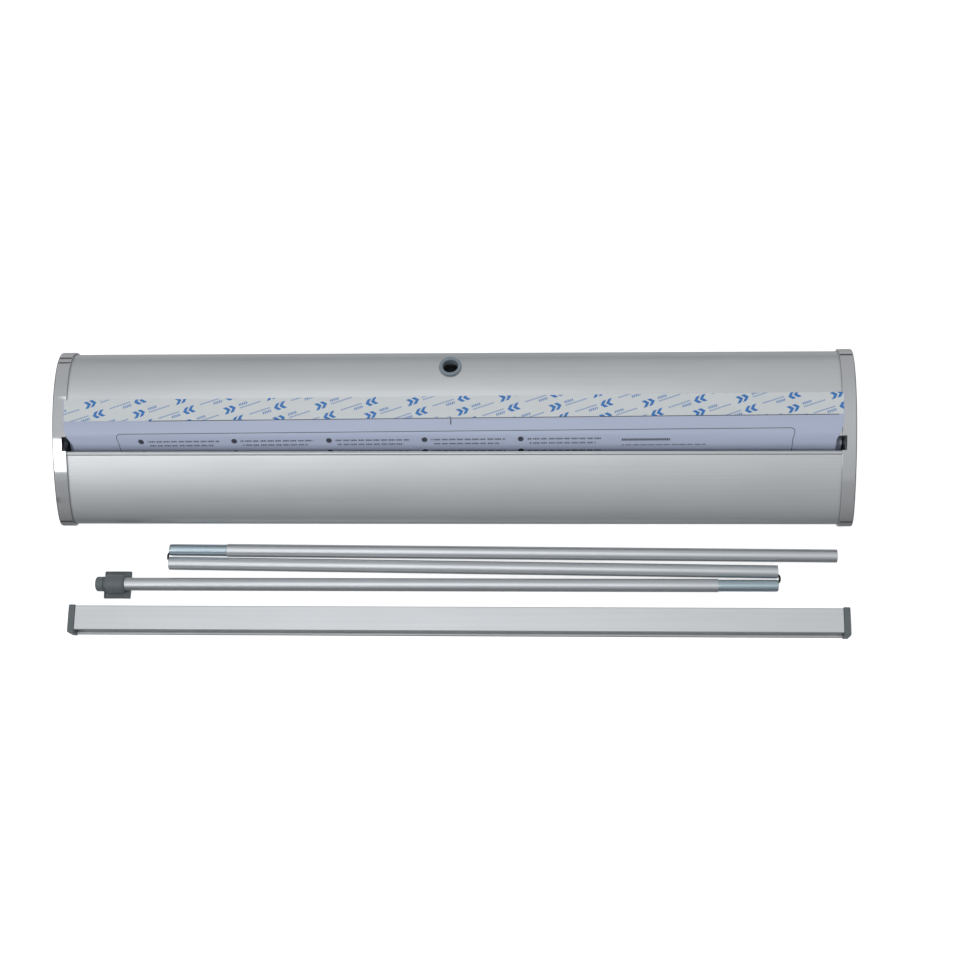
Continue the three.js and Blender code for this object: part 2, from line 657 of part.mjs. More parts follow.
// Head on the top section: built from its tip at 0 back over the tube, and flat underneath.
const headStubRadius = TUBE_RADIUS + HEAD_STUB_LARGER;
const headBarrelRadius = TUBE_RADIUS + HEAD_BARREL_LARGER;
function poleHead() {
  const stub = turnedX([
    [0, 0],
    [0, headStubRadius - 1.4],
    [1.4, headStubRadius],
    [HEAD_STUB_LENGTH, headStubRadius],
    [HEAD_STUB_LENGTH, headStubRadius - 1],
    [HEAD_BARREL_START, headStubRadius - 1],
    [HEAD_BARREL_START, headBarrelRadius],
    [HEAD_LENGTH, headBarrelRadius],
    [HEAD_LENGTH, 0],
  ]);
  const wings = block(
    [WING_START, -WING_HALF_WIDTH, -TUBE_RADIUS],
    [WING_START + WING_LENGTH, WING_HALF_WIDTH, WING_THICKNESS - TUBE_RADIUS],
  );
  const under = block([-5, -30, -30], [WING_START + WING_LENGTH + 5, 30, -TUBE_RADIUS]);
  const bore = turnedX(rod(HEAD_LENGTH - HEAD_GRIP, WING_START + WING_LENGTH + 5, TUBE_RADIUS + GAP));
  return stub.add(wings).subtract(under).subtract(bore);
}
const head = addMesh(top, "pole_head", poleHead(), greyPlastic);
head.position.x = FERRULE_OUT + TUBE_LENGTH - HEAD_GRIP + GAP + HEAD_LENGTH;
head.rotation.z = Math.PI;

// The cord's visible bend at a fold, as two halves: one by the rear tube, one by the front tube.
// It leaves the rear tube near the side that faces its neighbour, and turns back into the neighbour.
function cordBend(fold, outward, name) {
  const reach = foldSpacing - 2 * cordOffAxis;
  const halves = [
    { word: "rear", start: 0, end: 0.5 },
    { word: "front", start: 0.5, end: 1 },
  ];
  const route = new THREE.CatmullRomCurve3(
    [
      [-CORD_MOUTH, 0],
      [-CORD_MOUTH / 2, 0],
      [0, 0],
      [CORD_BULGE * 0.8, -reach * 0.2],
      [CORD_BULGE, -reach / 2],
      [CORD_BULGE * 0.8, -reach * 0.8],
      [0, -reach],
      [-CORD_MOUTH / 2, -reach],
      [-CORD_MOUTH, -reach],
    ].map(([out, across]) => new THREE.Vector3(outward * out, across - cordOffAxis, 0)),
  );
  for (const { word, start, end } of halves) {
    const trim = 0.008;
    const low = start === 0 ? 0 : start + trim;
    const high = end === 1 ? 1 : end - trim;
    const points = [];
    for (let i = 0; i <= 10; i++) points.push(route.getPointAt(low + ((high - low) * i) / 10));
    const path = new THREE.CatmullRomCurve3(points);
    const round = new THREE.Shape().absarc(0, 0, CORD_RADIUS, 0, Math.PI * 2, false);
    const geometry = new THREE.ExtrudeGeometry(new THREE.Shape(round.getPoints(5).slice(0, -1)), {
      steps: 12,
      extrudePath: path,
    });
    const mesh = addMesh(pole, `${name}_${word}_half`, toSolid(geometry), cordBlack);
    mesh.position.set(fold.x, fold.y, 0);
  }
}
cordBend(leftFold, -1, "lower_cord_bend");
cordBend(rightFold, 1, "upper_cord_bend");

// ---------------------------------------------------------------- top rail
const rail = new THREE.Group();
rail.position.set(RAIL_X, layoutShift + railRearY, 0);
root.add(rail);
const railHalf = (FILM_WIDTH - RAIL_SHORTER) / 2;
const railBottom = 0.4;
const railTop = railBottom + RAIL_HEIGHT;
// An open channel: the face on top, the rear web, and the back plate that runs out to a lip in front.
const railSection = [
  [0, railBottom],
  [0, railTop - 1.5],
  [-1.5, railTop],
  [-RAIL_FACE + 0.8, railTop],
  [-RAIL_FACE, railTop - 0.8],
  [-RAIL_FACE, railTop - RAIL_WALL - RAIL_HOOK],
  [-RAIL_FACE + RAIL_HOOK, railTop - RAIL_WALL - RAIL_HOOK],
  [-RAIL_FACE + RAIL_HOOK, railTop - RAIL_WALL],
  [-RAIL_WALL, railTop - RAIL_WALL],
  [-RAIL_WALL, railBottom + RAIL_WALL],
  [-RAIL_DEPTH + RAIL_HOOK, railBottom + RAIL_WALL],
  [-RAIL_DEPTH + RAIL_HOOK, railBottom + RAIL_WALL + RAIL_HOOK],
  [-RAIL_DEPTH, railBottom + RAIL_WALL + RAIL_HOOK],
  [-RAIL_DEPTH, railBottom],
].map(([y, z]) => new THREE.Vector2(y, z));
addMesh(rail, "rail_profile", prismX(railSection, -railHalf, railHalf), railSilver);

function railCap(side) {
  const [inside, outside] = [railHalf + GAP, railHalf + RAIL_CAP];
  const [back, front] = [RAIL_CAP_PROUD, -RAIL_DEPTH - RAIL_CAP_PROUD];
  const plan = [
    [inside, back],
    [outside - 1, back],
    [outside, back - 1],
    [outside, front + RAIL_CAP_CHAMFER],
    [outside - RAIL_CAP_CHAMFER, front],
    [inside, front],
  ].map(([x, y]) => new THREE.Vector2(x, y));
  const capTop = railTop + 0.6;
  const plate = toSolid(
    new THREE.ExtrudeGeometry(new THREE.Shape(plan), { depth: capTop, bevelEnabled: false }),
  );
  const plug = block(
    [railHalf - RAIL_CAP_PLUG, -RAIL_FACE + RAIL_HOOK + GAP, railBottom + RAIL_WALL + GAP],
    [inside + 1, -RAIL_WALL - GAP, railTop - RAIL_WALL - GAP],
  );
  const skirt = (low, high) => block([railHalf - RAIL_CAP_SKIRT, low, 0], [inside + 1, high, capTop]);
  const withSkirts = plate.add(plug).add(skirt(GAP, back)).add(skirt(front, -RAIL_DEPTH - GAP));
  return mirrored(withSkirts, side);
}
for (const [word, side] of Object.entries(sides)) {
  addMesh(rail, `${word}_rail_cap`, railCap(side), greyPlastic);
}

export default root;
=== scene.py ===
# %% [markdown]
# # A roll-up banner stand, laid out as a kit
# The stand is a spring-roller cassette, a folded three-section pole and a top rail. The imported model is
# loaded first as a fixed frame: it says where each part is and what moves. Every new piece below is
# modelled at a place read from that frame, so nothing has to be fitted afterwards.

# %% Load the frame
from math import atan2, cos, pi, radians, sin

import bmesh
import bpy
from mathutils import Matrix, Vector


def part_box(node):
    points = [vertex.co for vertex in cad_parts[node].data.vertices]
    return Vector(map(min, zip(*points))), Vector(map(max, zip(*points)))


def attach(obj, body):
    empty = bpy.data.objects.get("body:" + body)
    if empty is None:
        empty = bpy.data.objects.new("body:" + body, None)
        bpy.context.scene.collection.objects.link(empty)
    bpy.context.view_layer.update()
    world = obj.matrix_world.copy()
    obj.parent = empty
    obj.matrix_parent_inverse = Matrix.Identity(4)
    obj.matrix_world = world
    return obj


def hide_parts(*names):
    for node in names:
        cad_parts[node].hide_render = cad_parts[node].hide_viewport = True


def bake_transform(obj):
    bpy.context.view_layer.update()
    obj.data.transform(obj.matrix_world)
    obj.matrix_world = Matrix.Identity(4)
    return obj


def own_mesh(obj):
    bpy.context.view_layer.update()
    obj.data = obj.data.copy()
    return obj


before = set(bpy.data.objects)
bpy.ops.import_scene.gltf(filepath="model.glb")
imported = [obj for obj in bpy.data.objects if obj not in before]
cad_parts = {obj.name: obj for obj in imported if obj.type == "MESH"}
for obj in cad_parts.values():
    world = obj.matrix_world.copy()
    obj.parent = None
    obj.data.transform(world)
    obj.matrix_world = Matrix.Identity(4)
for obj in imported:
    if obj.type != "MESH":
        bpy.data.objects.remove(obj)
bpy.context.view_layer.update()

MM = 0.001

# %% [markdown]
# ## The places that everything is measured from
# The end caps give the cassette's nose, its back and its height, because they stand proud of the shells all
# round. The pole's tubes lie at small angles, so each one's axis is read from the middles of its two ends.

# %% Places read from the frame
cap_low, cap_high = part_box("left_end_cap")
nose, rear, crown = cap_low[1], cap_high[1], cap_high[2]
cap_outside, cap_inside = cap_low[0], cap_high[0]
crest = nose + 135.7 * MM
slot_front = nose + 71.7 * MM
slot_rear = slot_front + 15 * MM
shell_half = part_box("rear_shell")[1][0]
shell_inset = 2.5 * MM
shell_wall = 1.8 * MM


def axis_of(node):
    """The middles of a long node's two ends, low X first."""
    points = [v.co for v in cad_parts[node].data.vertices]
    ends = []
    for limit in (min(p.x for p in points), max(p.x for p in points)):
        ring = [p for p in points if abs(p.x - limit) < 0.4 * MM]
        low = Vector([min(p[i] for p in ring) for i in range(3)])
        high = Vector([max(p[i] for p in ring) for i in range(3)])
        ends.append((low + high) / 2)
    return ends


print(f"cassette {(rear - nose) / MM:.1f} mm deep and {crown / MM:.1f} mm high")

# %% [markdown]
# ## Working as by hand
# Most pieces start as a primitive, and are then shaped in edit mode. An operator acts on everything that is
# selected, so `edit` opens one object with only the chosen faces, edges or points selected.


# %% Helpers for modelling
def only(obj):
    """Selects one object alone and makes it active."""
    if bpy.context.mode != "OBJECT":
        bpy.ops.object.mode_set(mode="OBJECT")
    bpy.ops.object.select_all(action="DESELECT")
    obj.select_set(True)
    bpy.context.view_layer.objects.active = obj


def edit(obj, kind="FACE", test=lambda item: True):
    """Opens obj in edit mode with the faces, edges or points that pass a test selected."""
    if bpy.context.mode != "EDIT_MESH":
        only(obj)
        bpy.ops.object.mode_set(mode="EDIT")
    bpy.ops.mesh.select_mode(type=kind)
    bpy.ops.mesh.select_all(action="DESELECT")
    mesh = bmesh.from_edit_mesh(obj.data)
    mesh.normal_update()
    items = {"FACE": mesh.faces, "EDGE": mesh.edges, "VERT": mesh.verts}[kind]
    for item in [item for item in items if test(item)]:
        item.select_set(True)
    mesh.select_flush_mode()
    bmesh.update_edit_mesh(obj.data)


def middle(item):
    """The middle of an edge or a face."""
    corners = [v.co for v in item.verts]
    return sum(corners, Vector()) / len(corners)


def modify(obj, kind, **settings):
    """Adds a modifier, sets it and applies it."""
    only(obj)
    bpy.ops.object.modifier_add(type=kind)
    modifier = obj.modifiers[-1]
    for name, value in settings.items():
        setattr(modifier, name, value)
    bpy.ops.object.modifier_apply(modifier=modifier.name)


def cut(obj, tool):
    """Cuts a tool's shape out of obj and deletes the tool."""
    modify(obj, "BOOLEAN", operation="DIFFERENCE", solver="EXACT", object=tool)
    bpy.data.objects.remove(tool)


def cylinder(radius, depth, place=(0, 0, 0), vertices=72, along_x=False):
    """A new cylinder with nothing else selected, standing on Z or lying along X."""
    bpy.ops.object.select_all(action="DESELECT")
    bpy.ops.mesh.primitive_cylinder_add(vertices=vertices, radius=radius, depth=depth, location=place,
                                        rotation=(0, pi / 2 if along_x else 0, 0))
    return bpy.context.object


def block(place, size, turn=0):
    """A new block with nothing else selected, from its middle and its size, turned about Z."""
    bpy.ops.object.select_all(action="DESELECT")
    bpy.ops.mesh.primitive_cube_add(size=1, location=place, rotation=(0, 0, turn), scale=size)
    return bpy.context.object


def closed_loop(points, fill=False):
    """A closed loop of edges through points, filled with a face if asked."""
    bpy.ops.object.select_all(action="DESELECT")
    bpy.ops.mesh.primitive_plane_add(size=1)
    obj = bpy.context.object
    edit(obj, "VERT")
    bpy.ops.mesh.delete(type="VERT")
    mesh = bmesh.from_edit_mesh(obj.data)
    corners = [mesh.verts.new(point) for point in points]
    if fill:
        mesh.faces.new(corners)
    else:
        for first, second in zip(corners, corners[1:] + corners[:1]):
            mesh.edges.new((first, second))
    bmesh.update_edit_mesh(obj.data)
    return obj


def join(*parts):
    """Joins objects into the first one."""
    only(parts[0])
    for part in parts[1:]:
        part.select_set(True)
    bpy.ops.object.join()
    return parts[0]


def outline(knots, closed=True, resolution=20):
    """A Bezier outline in the YZ plane, made a mesh. A knot is (point, handle before, handle after)."""
    curve = bpy.data.curves.new("outline", "CURVE")
    curve.dimensions = "3D"
    curve.resolution_u = resolution
    spline = curve.splines.new("BEZIER")
    spline.bezier_points.add(len(knots) - 1)
    for point, (place, before, after) in zip(spline.bezier_points, knots):
        point.co = (0, *place)
        point.handle_left_type = point.handle_right_type = "FREE"
        point.handle_left = (0, *before)
        point.handle_right = (0, *after)
    spline.use_cyclic_u = closed
    obj = bpy.data.objects.new("outline", curve)
    bpy.context.collection.objects.link(obj)
    only(obj)
    bpy.ops.object.convert(target="MESH")
    edit(obj, "VERT")
    bpy.ops.mesh.remove_doubles(threshold=0.02 * MM)
    return obj


def run_along_x(obj, start, end):
    """Pulls an outline out into a surface from one X to another, facing outwards."""
    edit(obj, "EDGE")
    bpy.ops.transform.translate(value=(start, 0, 0))
    bpy.ops.mesh.extrude_region_move(TRANSFORM_OT_translate={"value": (end - start, 0, 0)})
    edit(obj)
    bpy.ops.mesh.normals_make_consistent(inside=False)


# %% [markdown]
# ## Finishes
# Each finish is named for the real material. Colours are the hex values that a colour picker shows, and one
# function turns them into the linear numbers that shaders use. Patterns read Object coordinates, which are
# metres on the real thing, so a scale of 1000 counts millimetres.


# %% Helpers for materials
def colour(hex_value, alpha=1.0):
    """An sRGB hex colour as linear numbers."""
    channels = [int(hex_value[i:i + 2], 16) / 255 for i in (1, 3, 5)]
    linear = [c / 12.92 if c <= 0.04045 else ((c + 0.055) / 1.055) ** 2.4 for c in channels]
    return (*linear, alpha)


def give(node, *values, **named):
    """Sets a node's inputs in order or by name. A value is plain, or a node or socket to link from."""
    sockets = [socket for socket in node.inputs if socket.enabled][:len(values)]
    sockets += [node.inputs[name.replace("_", " ")] for name in named]
    for socket, value in zip(sockets, (*values, *named.values())):
        if isinstance(value, bpy.types.Node):
            value = next(output for output in value.outputs if output.enabled)
        if isinstance(value, bpy.types.NodeSocket):
            node.id_data.links.new(value, socket)
        else:
            socket.default_value = value


def add(tree, kind, settings=None, *values, **named):
    """Adds a node with its settings and inputs. A word in place of the settings is its operation."""
    node = tree.nodes.new("ShaderNode" + kind)
    if isinstance(settings, str):
        settings = {"operation": settings}
    for name, value in (settings or {}).items():
        setattr(node, name, value)
    give(node, *values, **named)
    return node


def finish(name, base, roughness, metallic=0.0, **more):
    """A new material with its main shader. Returns the material, its node tree and the shader."""
    material = bpy.data.materials.new(name)
    material.use_nodes = True
    tree = material.node_tree
    shader = tree.nodes["Principled BSDF"]
    shader.inputs["Base Color"].default_value = colour(base)
    shader.inputs["Roughness"].default_value = roughness
    shader.inputs["Metallic"].default_value = metallic
    for socket, value in more.items():
        shader.inputs[socket.replace("_", " ")].default_value = value
    material.diffuse_color = colour(base)
    return material, tree, shader


def mottle(tree, scale, detail=3.0, source="Object"):
    """Noise with a scale for each axis, in cells per metre."""
    place = add(tree, "TexCoord")
    sized = add(tree, "Mapping", Vector=place.outputs[source], Scale=scale)
    return add(tree, "TexNoise", Vector=sized, Scale=1.0, Detail=detail)


# %% [markdown]
# ### Metals
# The shells, the tubes and the rail are satin-anodised extrusions. Etching and anodising leave a fine matt
# skin, and the die leaves faint lines along the length, so noise is stretched about a thousand to one along X.
# The etch itself, a few hundredths of a millimetre, is too fine to show and is drawn ten times as coarse.


# %% Anodised aluminium
def anodised(name, base, dark, roughness, lines=900):
    material, tree, shader = finish(name, base, roughness, 1.0)
    die_lines = mottle(tree, (3, lines, lines), 2.0)
    cloud = mottle(tree, (9, 30, 30), 3.0)
    etch = mottle(tree, (2500, 2500, 2500), 1.0)
    tone = add(tree, "Math", "MULTIPLY_ADD", cloud, 0.5, 0.25)
    tone = add(tree, "Math", "MULTIPLY_ADD", die_lines, 0.5, tone)
    factor = add(tree, "MapRange", None, tone, 0.45, 0.95, 0.0, 1.0)
    give(shader, Base_Color=add(tree, "Mix", {"data_type": "RGBA"}, factor, colour(base), colour(dark)))
    give(shader, Roughness=add(tree, "MapRange", None, etch, 0.3, 0.7, roughness - 0.03, roughness + 0.04))
    height = add(tree, "Math", "MULTIPLY_ADD", etch, 0.4, die_lines)
    give(shader, Normal=add(tree, "Bump", Strength=0.12, Distance=0.05 * MM, Height=height))
    return material


shell_finish = anodised("satin_anodised_aluminium", "#d3d6d8", "#c8cbcd", 0.40)
tube_finish = anodised("anodised_tube_aluminium", "#d0d4d7", "#c2c6c9", 0.34, lines=1400)
rail_finish = anodised("anodised_rail_aluminium", "#d6d9db", "#cbced0", 0.46, lines=500)
print("anodised finishes:", shell_finish.name, tube_finish.name, rail_finish.name)

# %% [markdown]
# ### Plated and plain steel
# Chrome plating on the end caps is a mirror, only a little softened by handling. Bright zinc on the ferrules
# and screws is bluish, with a faint drawn grain. Galvanised sheet has pale crystals, called spangle.


# %% Chrome, zinc and sheet steel
def chrome_plating():
    material, tree, shader = finish("chrome_plating", "#c3c5c7", 0.06, 1.0)
    handled = mottle(tree, (45, 45, 45), 4.0)
    give(shader, Roughness=add(tree, "MapRange", None, handled, 0.35, 0.75, 0.04, 0.12))
    give(shader,
         Normal=add(tree, "Bump", Strength=0.05, Distance=0.2 * MM, Height=mottle(tree, (60, 60, 60), 1.0)))
    return material


def zinc_plating():
    material, tree, shader = finish("bright_zinc_plating", "#a9bac3", 0.22, 1.0)
    grain = mottle(tree, (12, 1500, 1500), 3.0)
    give(shader,
         Base_Color=add(tree, "Mix", {"data_type": "RGBA"}, grain, colour("#93a7b2"), colour("#c3d0d6")))
    give(shader, Roughness=add(tree, "MapRange", None, grain, 0.3, 0.7, 0.16, 0.32))
    give(shader, Normal=add(tree, "Bump", Strength=0.2, Distance=0.04 * MM, Height=grain))
    return material


def galvanised_sheet():
    material, tree, shader = finish("galvanised_sheet_steel", "#9ea3a6", 0.4, 1.0)
    place = add(tree, "TexCoord")
    spangle = add(tree, "TexVoronoi", Vector=place.outputs["Object"], Scale=160.0)
    shadow = add(tree, "SeparateColor", Color=spangle.outputs["Color"])
    give(shader,
         Base_Color=add(tree, "Mix", {"data_type": "RGBA"}, shadow.outputs[0], colour("#8f9497"),
                        colour("#b1b6b9")))
    give(shader, Roughness=add(tree, "MapRange", None, shadow.outputs[1], 0, 1, 0.3, 0.5))
    give(shader,
         Normal=add(tree, "Bump", Strength=0.1, Distance=0.04 * MM, Height=mottle(tree, (900, 900, 900))))
    return material


chrome, zinc, sheet_steel = chrome_plating(), zinc_plating(), galvanised_sheet()
print("plated finishes:", chrome.name, zinc.name, sheet_steel.name)

# %% [markdown]
# ### Plastics, rubber and cord
# The pole's head and the rail's caps are moulded ABS with a spark-eroded grain of about a third of a
# millimetre. The grommet is a smoother acetal. The cord's sheath is braided from round polyester yarns.


# %% Moulded plastic, rubber and braid
def moulded(name, base, light, roughness, grain, relief):
    material, tree, shader = finish(name, base, roughness, IOR=1.53)
    texture = mottle(tree, (grain, grain, grain), 2.0)
    flow = mottle(tree, (25, 60, 60), 2.0)
    give(shader,
         Base_Color=add(tree, "Mix", {"data_type": "RGBA"},
                        add(tree, "MapRange", None, flow, 0.3, 0.75, 0, 1), colour(base), colour(light)))
    give(shader,
         Roughness=add(tree, "MapRange", None, texture, 0.3, 0.7, roughness - 0.05, roughness + 0.07))
    give(shader, Normal=add(tree, "Bump", Strength=0.35, Distance=relief, Height=texture))
    return material


def braided_sheath():
    material, tree, shader = finish("braided_polyester_sheath", "#17181b", 0.8, Sheen_Weight=0.3)
    place = add(tree, "TexCoord")
    sized = add(tree, "Mapping", Vector=place.outputs["Object"], Scale=(1400, 1400, 1400))
    yarns = add(tree, "TexWave", {"bands_direction": "DIAGONAL"}, Vector=sized, Scale=0.5,
                Distortion=1.5)
    give(shader,
         Base_Color=add(tree, "Mix", {"data_type": "RGBA"}, yarns.outputs[1], colour("#0e0f11"),
                        colour("#2b2d31")))
    give(shader, Normal=add(tree, "Bump", Strength=0.8, Distance=0.15 * MM, Height=yarns.outputs[1]))
    return material


grey_abs = moulded("moulded_grey_abs", "#5f676a", "#666e71", 0.5, 3000, 0.05 * MM)
grommet_acetal = moulded("moulded_grey_acetal", "#7c8993", "#85929b", 0.32, 2200, 0.02 * MM)
rubber = moulded("moulded_black_rubber", "#1d1e1f", "#262728", 0.75, 2600, 0.08 * MM)
braid = braided_sheath()
print("moulded finishes:", grey_abs.name, grommet_acetal.name, rubber.name, braid.name)

# %% [markdown]
# ### Printed film and release liner
# The leader is a satin polyester film with a printed frame, rows of numbered steps and one heading. The liner
# is silicone-coated paper with a slanted pattern that repeats. The print here is only dots, bars and
# chevrons. One more thin dark bar on the film, in the ink colour just below the strip's lower edge, is a
# painted shadow of the gap under the strip. Both read a UV map in millimetres: U runs across from the middle, V
# back from the free edge.


# %% Printing with nodes
def bar(tree, u, v, left, right, low, high):
    """1 inside a rectangle and 0 outside."""
    across = add(tree, "Math", "COMPARE", u, (left + right) / 2, (right - left) / 2)
    along = add(tree, "Math", "COMPARE", v, (low + high) / 2, (high - low) / 2)
    return add(tree, "Math", "MULTIPLY", across, along)


def repeat(tree, value, pitch, start):
    """A place within one repeat of a pattern, measured from its start."""
    turns = add(tree, "Math", "FRACT",
                add(tree, "Math", "DIVIDE", add(tree, "Math", "SUBTRACT", value, start), pitch))
    return add(tree, "Math", "MULTIPLY", turns, pitch)


def dashes(tree, along, pitch, share):
    """1 on the words of a line of print and 0 in its gaps."""
    return add(tree, "Math", "LESS_THAN",
               add(tree, "Math", "FRACT", add(tree, "Math", "DIVIDE", along, pitch)), share)


def any_of(tree, masks):
    """The largest of several masks."""
    total = masks[0]
    for mask in masks[1:]:
        total = add(tree, "Math", "MAXIMUM", total, mask)
    return total


def film_places(tree):
    """U and V of the film's own map, in millimetres."""
    place = add(tree, "TexCoord")
    split = add(tree, "SeparateXYZ", Vector=place.outputs["UV"])
    return [add(tree, "Math", "MULTIPLY", split.outputs[i], 1000.0) for i in (0, 1)]


# %% The leader's print and a painted shadow
def printed_leader():
    material, tree, shader = finish("satin_polyester_film", "#b4bed6", 0.34, IOR=1.57)
    u, v = film_places(tree)
    # frame: a rounded rectangle, as the distance from a smaller rectangle inside it
    corner = 5.0
    across = add(tree, "Math", "SUBTRACT",
                 add(tree, "Math", "ABSOLUTE", add(tree, "Math", "SUBTRACT", u, 3.0)), 370.5 - corner)
    down = add(tree, "Math", "SUBTRACT",
               add(tree, "Math", "ABSOLUTE", add(tree, "Math", "SUBTRACT", v, 88.0)), 50.0 - corner)
    outside = [add(tree, "Math", "POWER", add(tree, "Math", "MAXIMUM", side, 0.0),
                   2.0) for side in (across, down)]
    distance = add(tree, "Math", "SQRT", add(tree, "Math", "ADD", *outside))
    frame_line = add(tree, "Math", "COMPARE", distance, corner, 0.38)
    # steps: a dot and two lines of print, in columns, with a second row lower down
    column = repeat(tree, u, 104.7, -350.0)
    row = repeat(tree, v, 17.0, 43.0)
    steps = bar(tree, u, v, -349.0, 172.0, 43.0, 111.0)
    squares = [add(tree, "Math", "POWER", add(tree, "Math", "SUBTRACT", side, centre), 2.0)
               for side, centre in ((column, 9.0), (row, 5.0))]
    dot = add(tree, "Math", "LESS_THAN", add(tree, "Math", "SQRT", add(tree, "Math", "ADD", *squares)), 3.2)
    words = add(tree, "Math", "MULTIPLY", dashes(tree, u, 8.3, 0.82), dashes(tree, u, 1.9, 0.72))
    lines = any_of(tree, [bar(tree, column, row, 16.0, 97.0, 4.0, 6.0),
                          bar(tree, column, row, 18.0, 90.0, 9.6, 11.6)])
    print_mask = add(tree, "Math", "MULTIPLY", steps,
                     any_of(tree, [dot, add(tree, "Math", "MULTIPLY", lines, words)]))
    heading = add(tree, "Math", "MULTIPLY", dashes(tree, u, 2.4, 0.75),
                  bar(tree, u, v, 187.0, 239.0, 48.5, 51.5))
    below = add(tree, "Math", "MULTIPLY", words, bar(tree, u, v, 187.0, 278.0, 56.5, 58.0))
    middle_mark = bar(tree, u, v, 1.4, 2.7, 24.5, 31.0)
    # painted shadow: a thin dark bar along the strip's lower edge stands in for the shade in the gap under the
    # strip, and goes into the same mask as the print
    painted_strip_edge_shadow = bar(tree, u, v, -330.0, 419.0, 22.0, 24.3)
    ink_and_painted_shadow = any_of(tree, [frame_line, print_mask, heading, below, middle_mark, painted_strip_edge_shadow])
    shade_of_film = mottle(tree, (8, 60, 60), 2.0)
    film = add(tree, "Mix", {"data_type": "RGBA"}, shade_of_film, colour("#b0bad3"), colour("#b9c3da"))
    # the ink colour paints both the print and the painted shadow under the strip's edge
    give(shader, Base_Color=add(tree, "Mix", {"data_type": "RGBA"}, ink_and_painted_shadow, film, colour("#3a3d4c")))
    give(shader,
         Normal=add(tree, "Bump", Strength=0.08, Distance=0.03 * MM,
                    Height=mottle(tree, (1500, 1500, 1500), 1.0)))
    return material


# %% The liner's print
def printed_liner():
    material, tree, shader = finish("silicone_coated_liner", "#d6dbdd", 0.42, IOR=1.5)
    u, v = film_places(tree)
    tilt = radians(17.5)
    # the pattern's own axes: along the slanted lines of print, and up across them
    along = add(tree, "Math", "SUBTRACT", add(tree, "Math", "MULTIPLY", u, cos(tilt)),
                add(tree, "Math", "MULTIPLY", v, sin(tilt)))
    up = add(tree, "Math", "ADD", add(tree, "Math", "MULTIPLY", u, -sin(tilt)),
             add(tree, "Math", "MULTIPLY", v, -cos(tilt)))
    row_height, pitch = 13.45, 48.4
    row = add(tree, "Math", "FLOOR", add(tree, "Math", "DIVIDE", up, row_height))
    odd = add(tree, "Math", "ABSOLUTE", add(tree, "Math", "MODULO", row, 2.0))
    flip = add(tree, "Math", "MULTIPLY_ADD", odd, -2.0, 1.0)
    half_pitch = add(tree, "Math", "MULTIPLY", odd, pitch / 2)
    x = add(tree, "Math", "SUBTRACT",
            repeat(tree, add(tree, "Math", "ADD", along, half_pitch), pitch, 0.0), pitch / 2)
    y = add(tree, "Math", "SUBTRACT", repeat(tree, up, row_height, 0.0), row_height / 2)
    x, y = add(tree, "Math", "MULTIPLY", x, flip), add(tree, "Math", "MULTIPLY", y, flip)
    # a bold pair of chevrons, a short bar of print and a long thin one
    lean = add(tree, "Math", "ADD", add(tree, "Math", "ADD", x, add(tree, "Math", "ABSOLUTE", y)), 18.0)
    chevrons = add(tree, "Math", "MULTIPLY", bar(tree, lean, y, 0.0, 10.4, -3.8, 3.8),
                   dashes(tree, lean, 6.2, 0.66))
    word = add(tree, "Math", "MULTIPLY", bar(tree, x, y, -4.0, 6.0, 0.3, 3.0), dashes(tree, x, 2.1, 0.72))
    fine = add(tree, "Math", "MULTIPLY", bar(tree, x, y, -4.0, 20.0, -2.5, -1.2),
               dashes(tree, x, 1.7, 0.78))
    strong = any_of(tree, [chevrons, add(tree, "Math", "MULTIPLY", any_of(tree, [word, fine]), 0.75)])
    paper = add(tree, "Mix", {"data_type": "RGBA"}, mottle(tree, (20, 90, 90)), colour("#d2d7d9"),
                colour("#dce0e1"))
    give(shader, Base_Color=add(tree, "Mix", {"data_type": "RGBA"}, strong, paper, colour("#2f78c0")))
    give(shader,
         Normal=add(tree, "Bump", Strength=0.15, Distance=0.05 * MM,
                    Height=mottle(tree, (900, 900, 900), 2.0)))
    return material


leader_finish, liner_finish = printed_leader(), printed_liner()
print("printed finishes:", leader_finish.name, liner_finish.name)


# %% [markdown]
# ## Finishing a piece
# Whatever its start, a finished piece has its place in its mesh, one finish, smooth shading, the body it
# moves with unless it is told not to ride, and the slot its finish comes from. The plain CAD nodes it stands
# for are hidden.


# %% One function that finishes a piece
def piece(obj, name, material, body, replaced=(), angle=35, ride=True):
    only(obj)
    bpy.ops.object.transform_apply(location=True, rotation=True, scale=True)
    obj.name = obj.data.name = name
    obj.data.materials.clear()
    obj.data.materials.append(material)
    bpy.ops.object.shade_smooth_by_angle(angle=radians(angle))
    modify(obj, "WEIGHTED_NORMAL", keep_sharp=True)
    if ride:
        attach(obj, body)
    if replaced:
        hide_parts(*replaced)
    print(f"{name}: {len(obj.data.polygons)} faces on {body}")
    return obj


# %% [markdown]
# ## The cassette's section
# Shells and end caps share one section: flat underneath, a short rear wall, a crest two thirds of the way back
# and a long slope down to the nose. It could be traced with dozens of points, but six Bezier knots hold it,
# and their handles are shares of the same heights and depths that the section is drawn from.


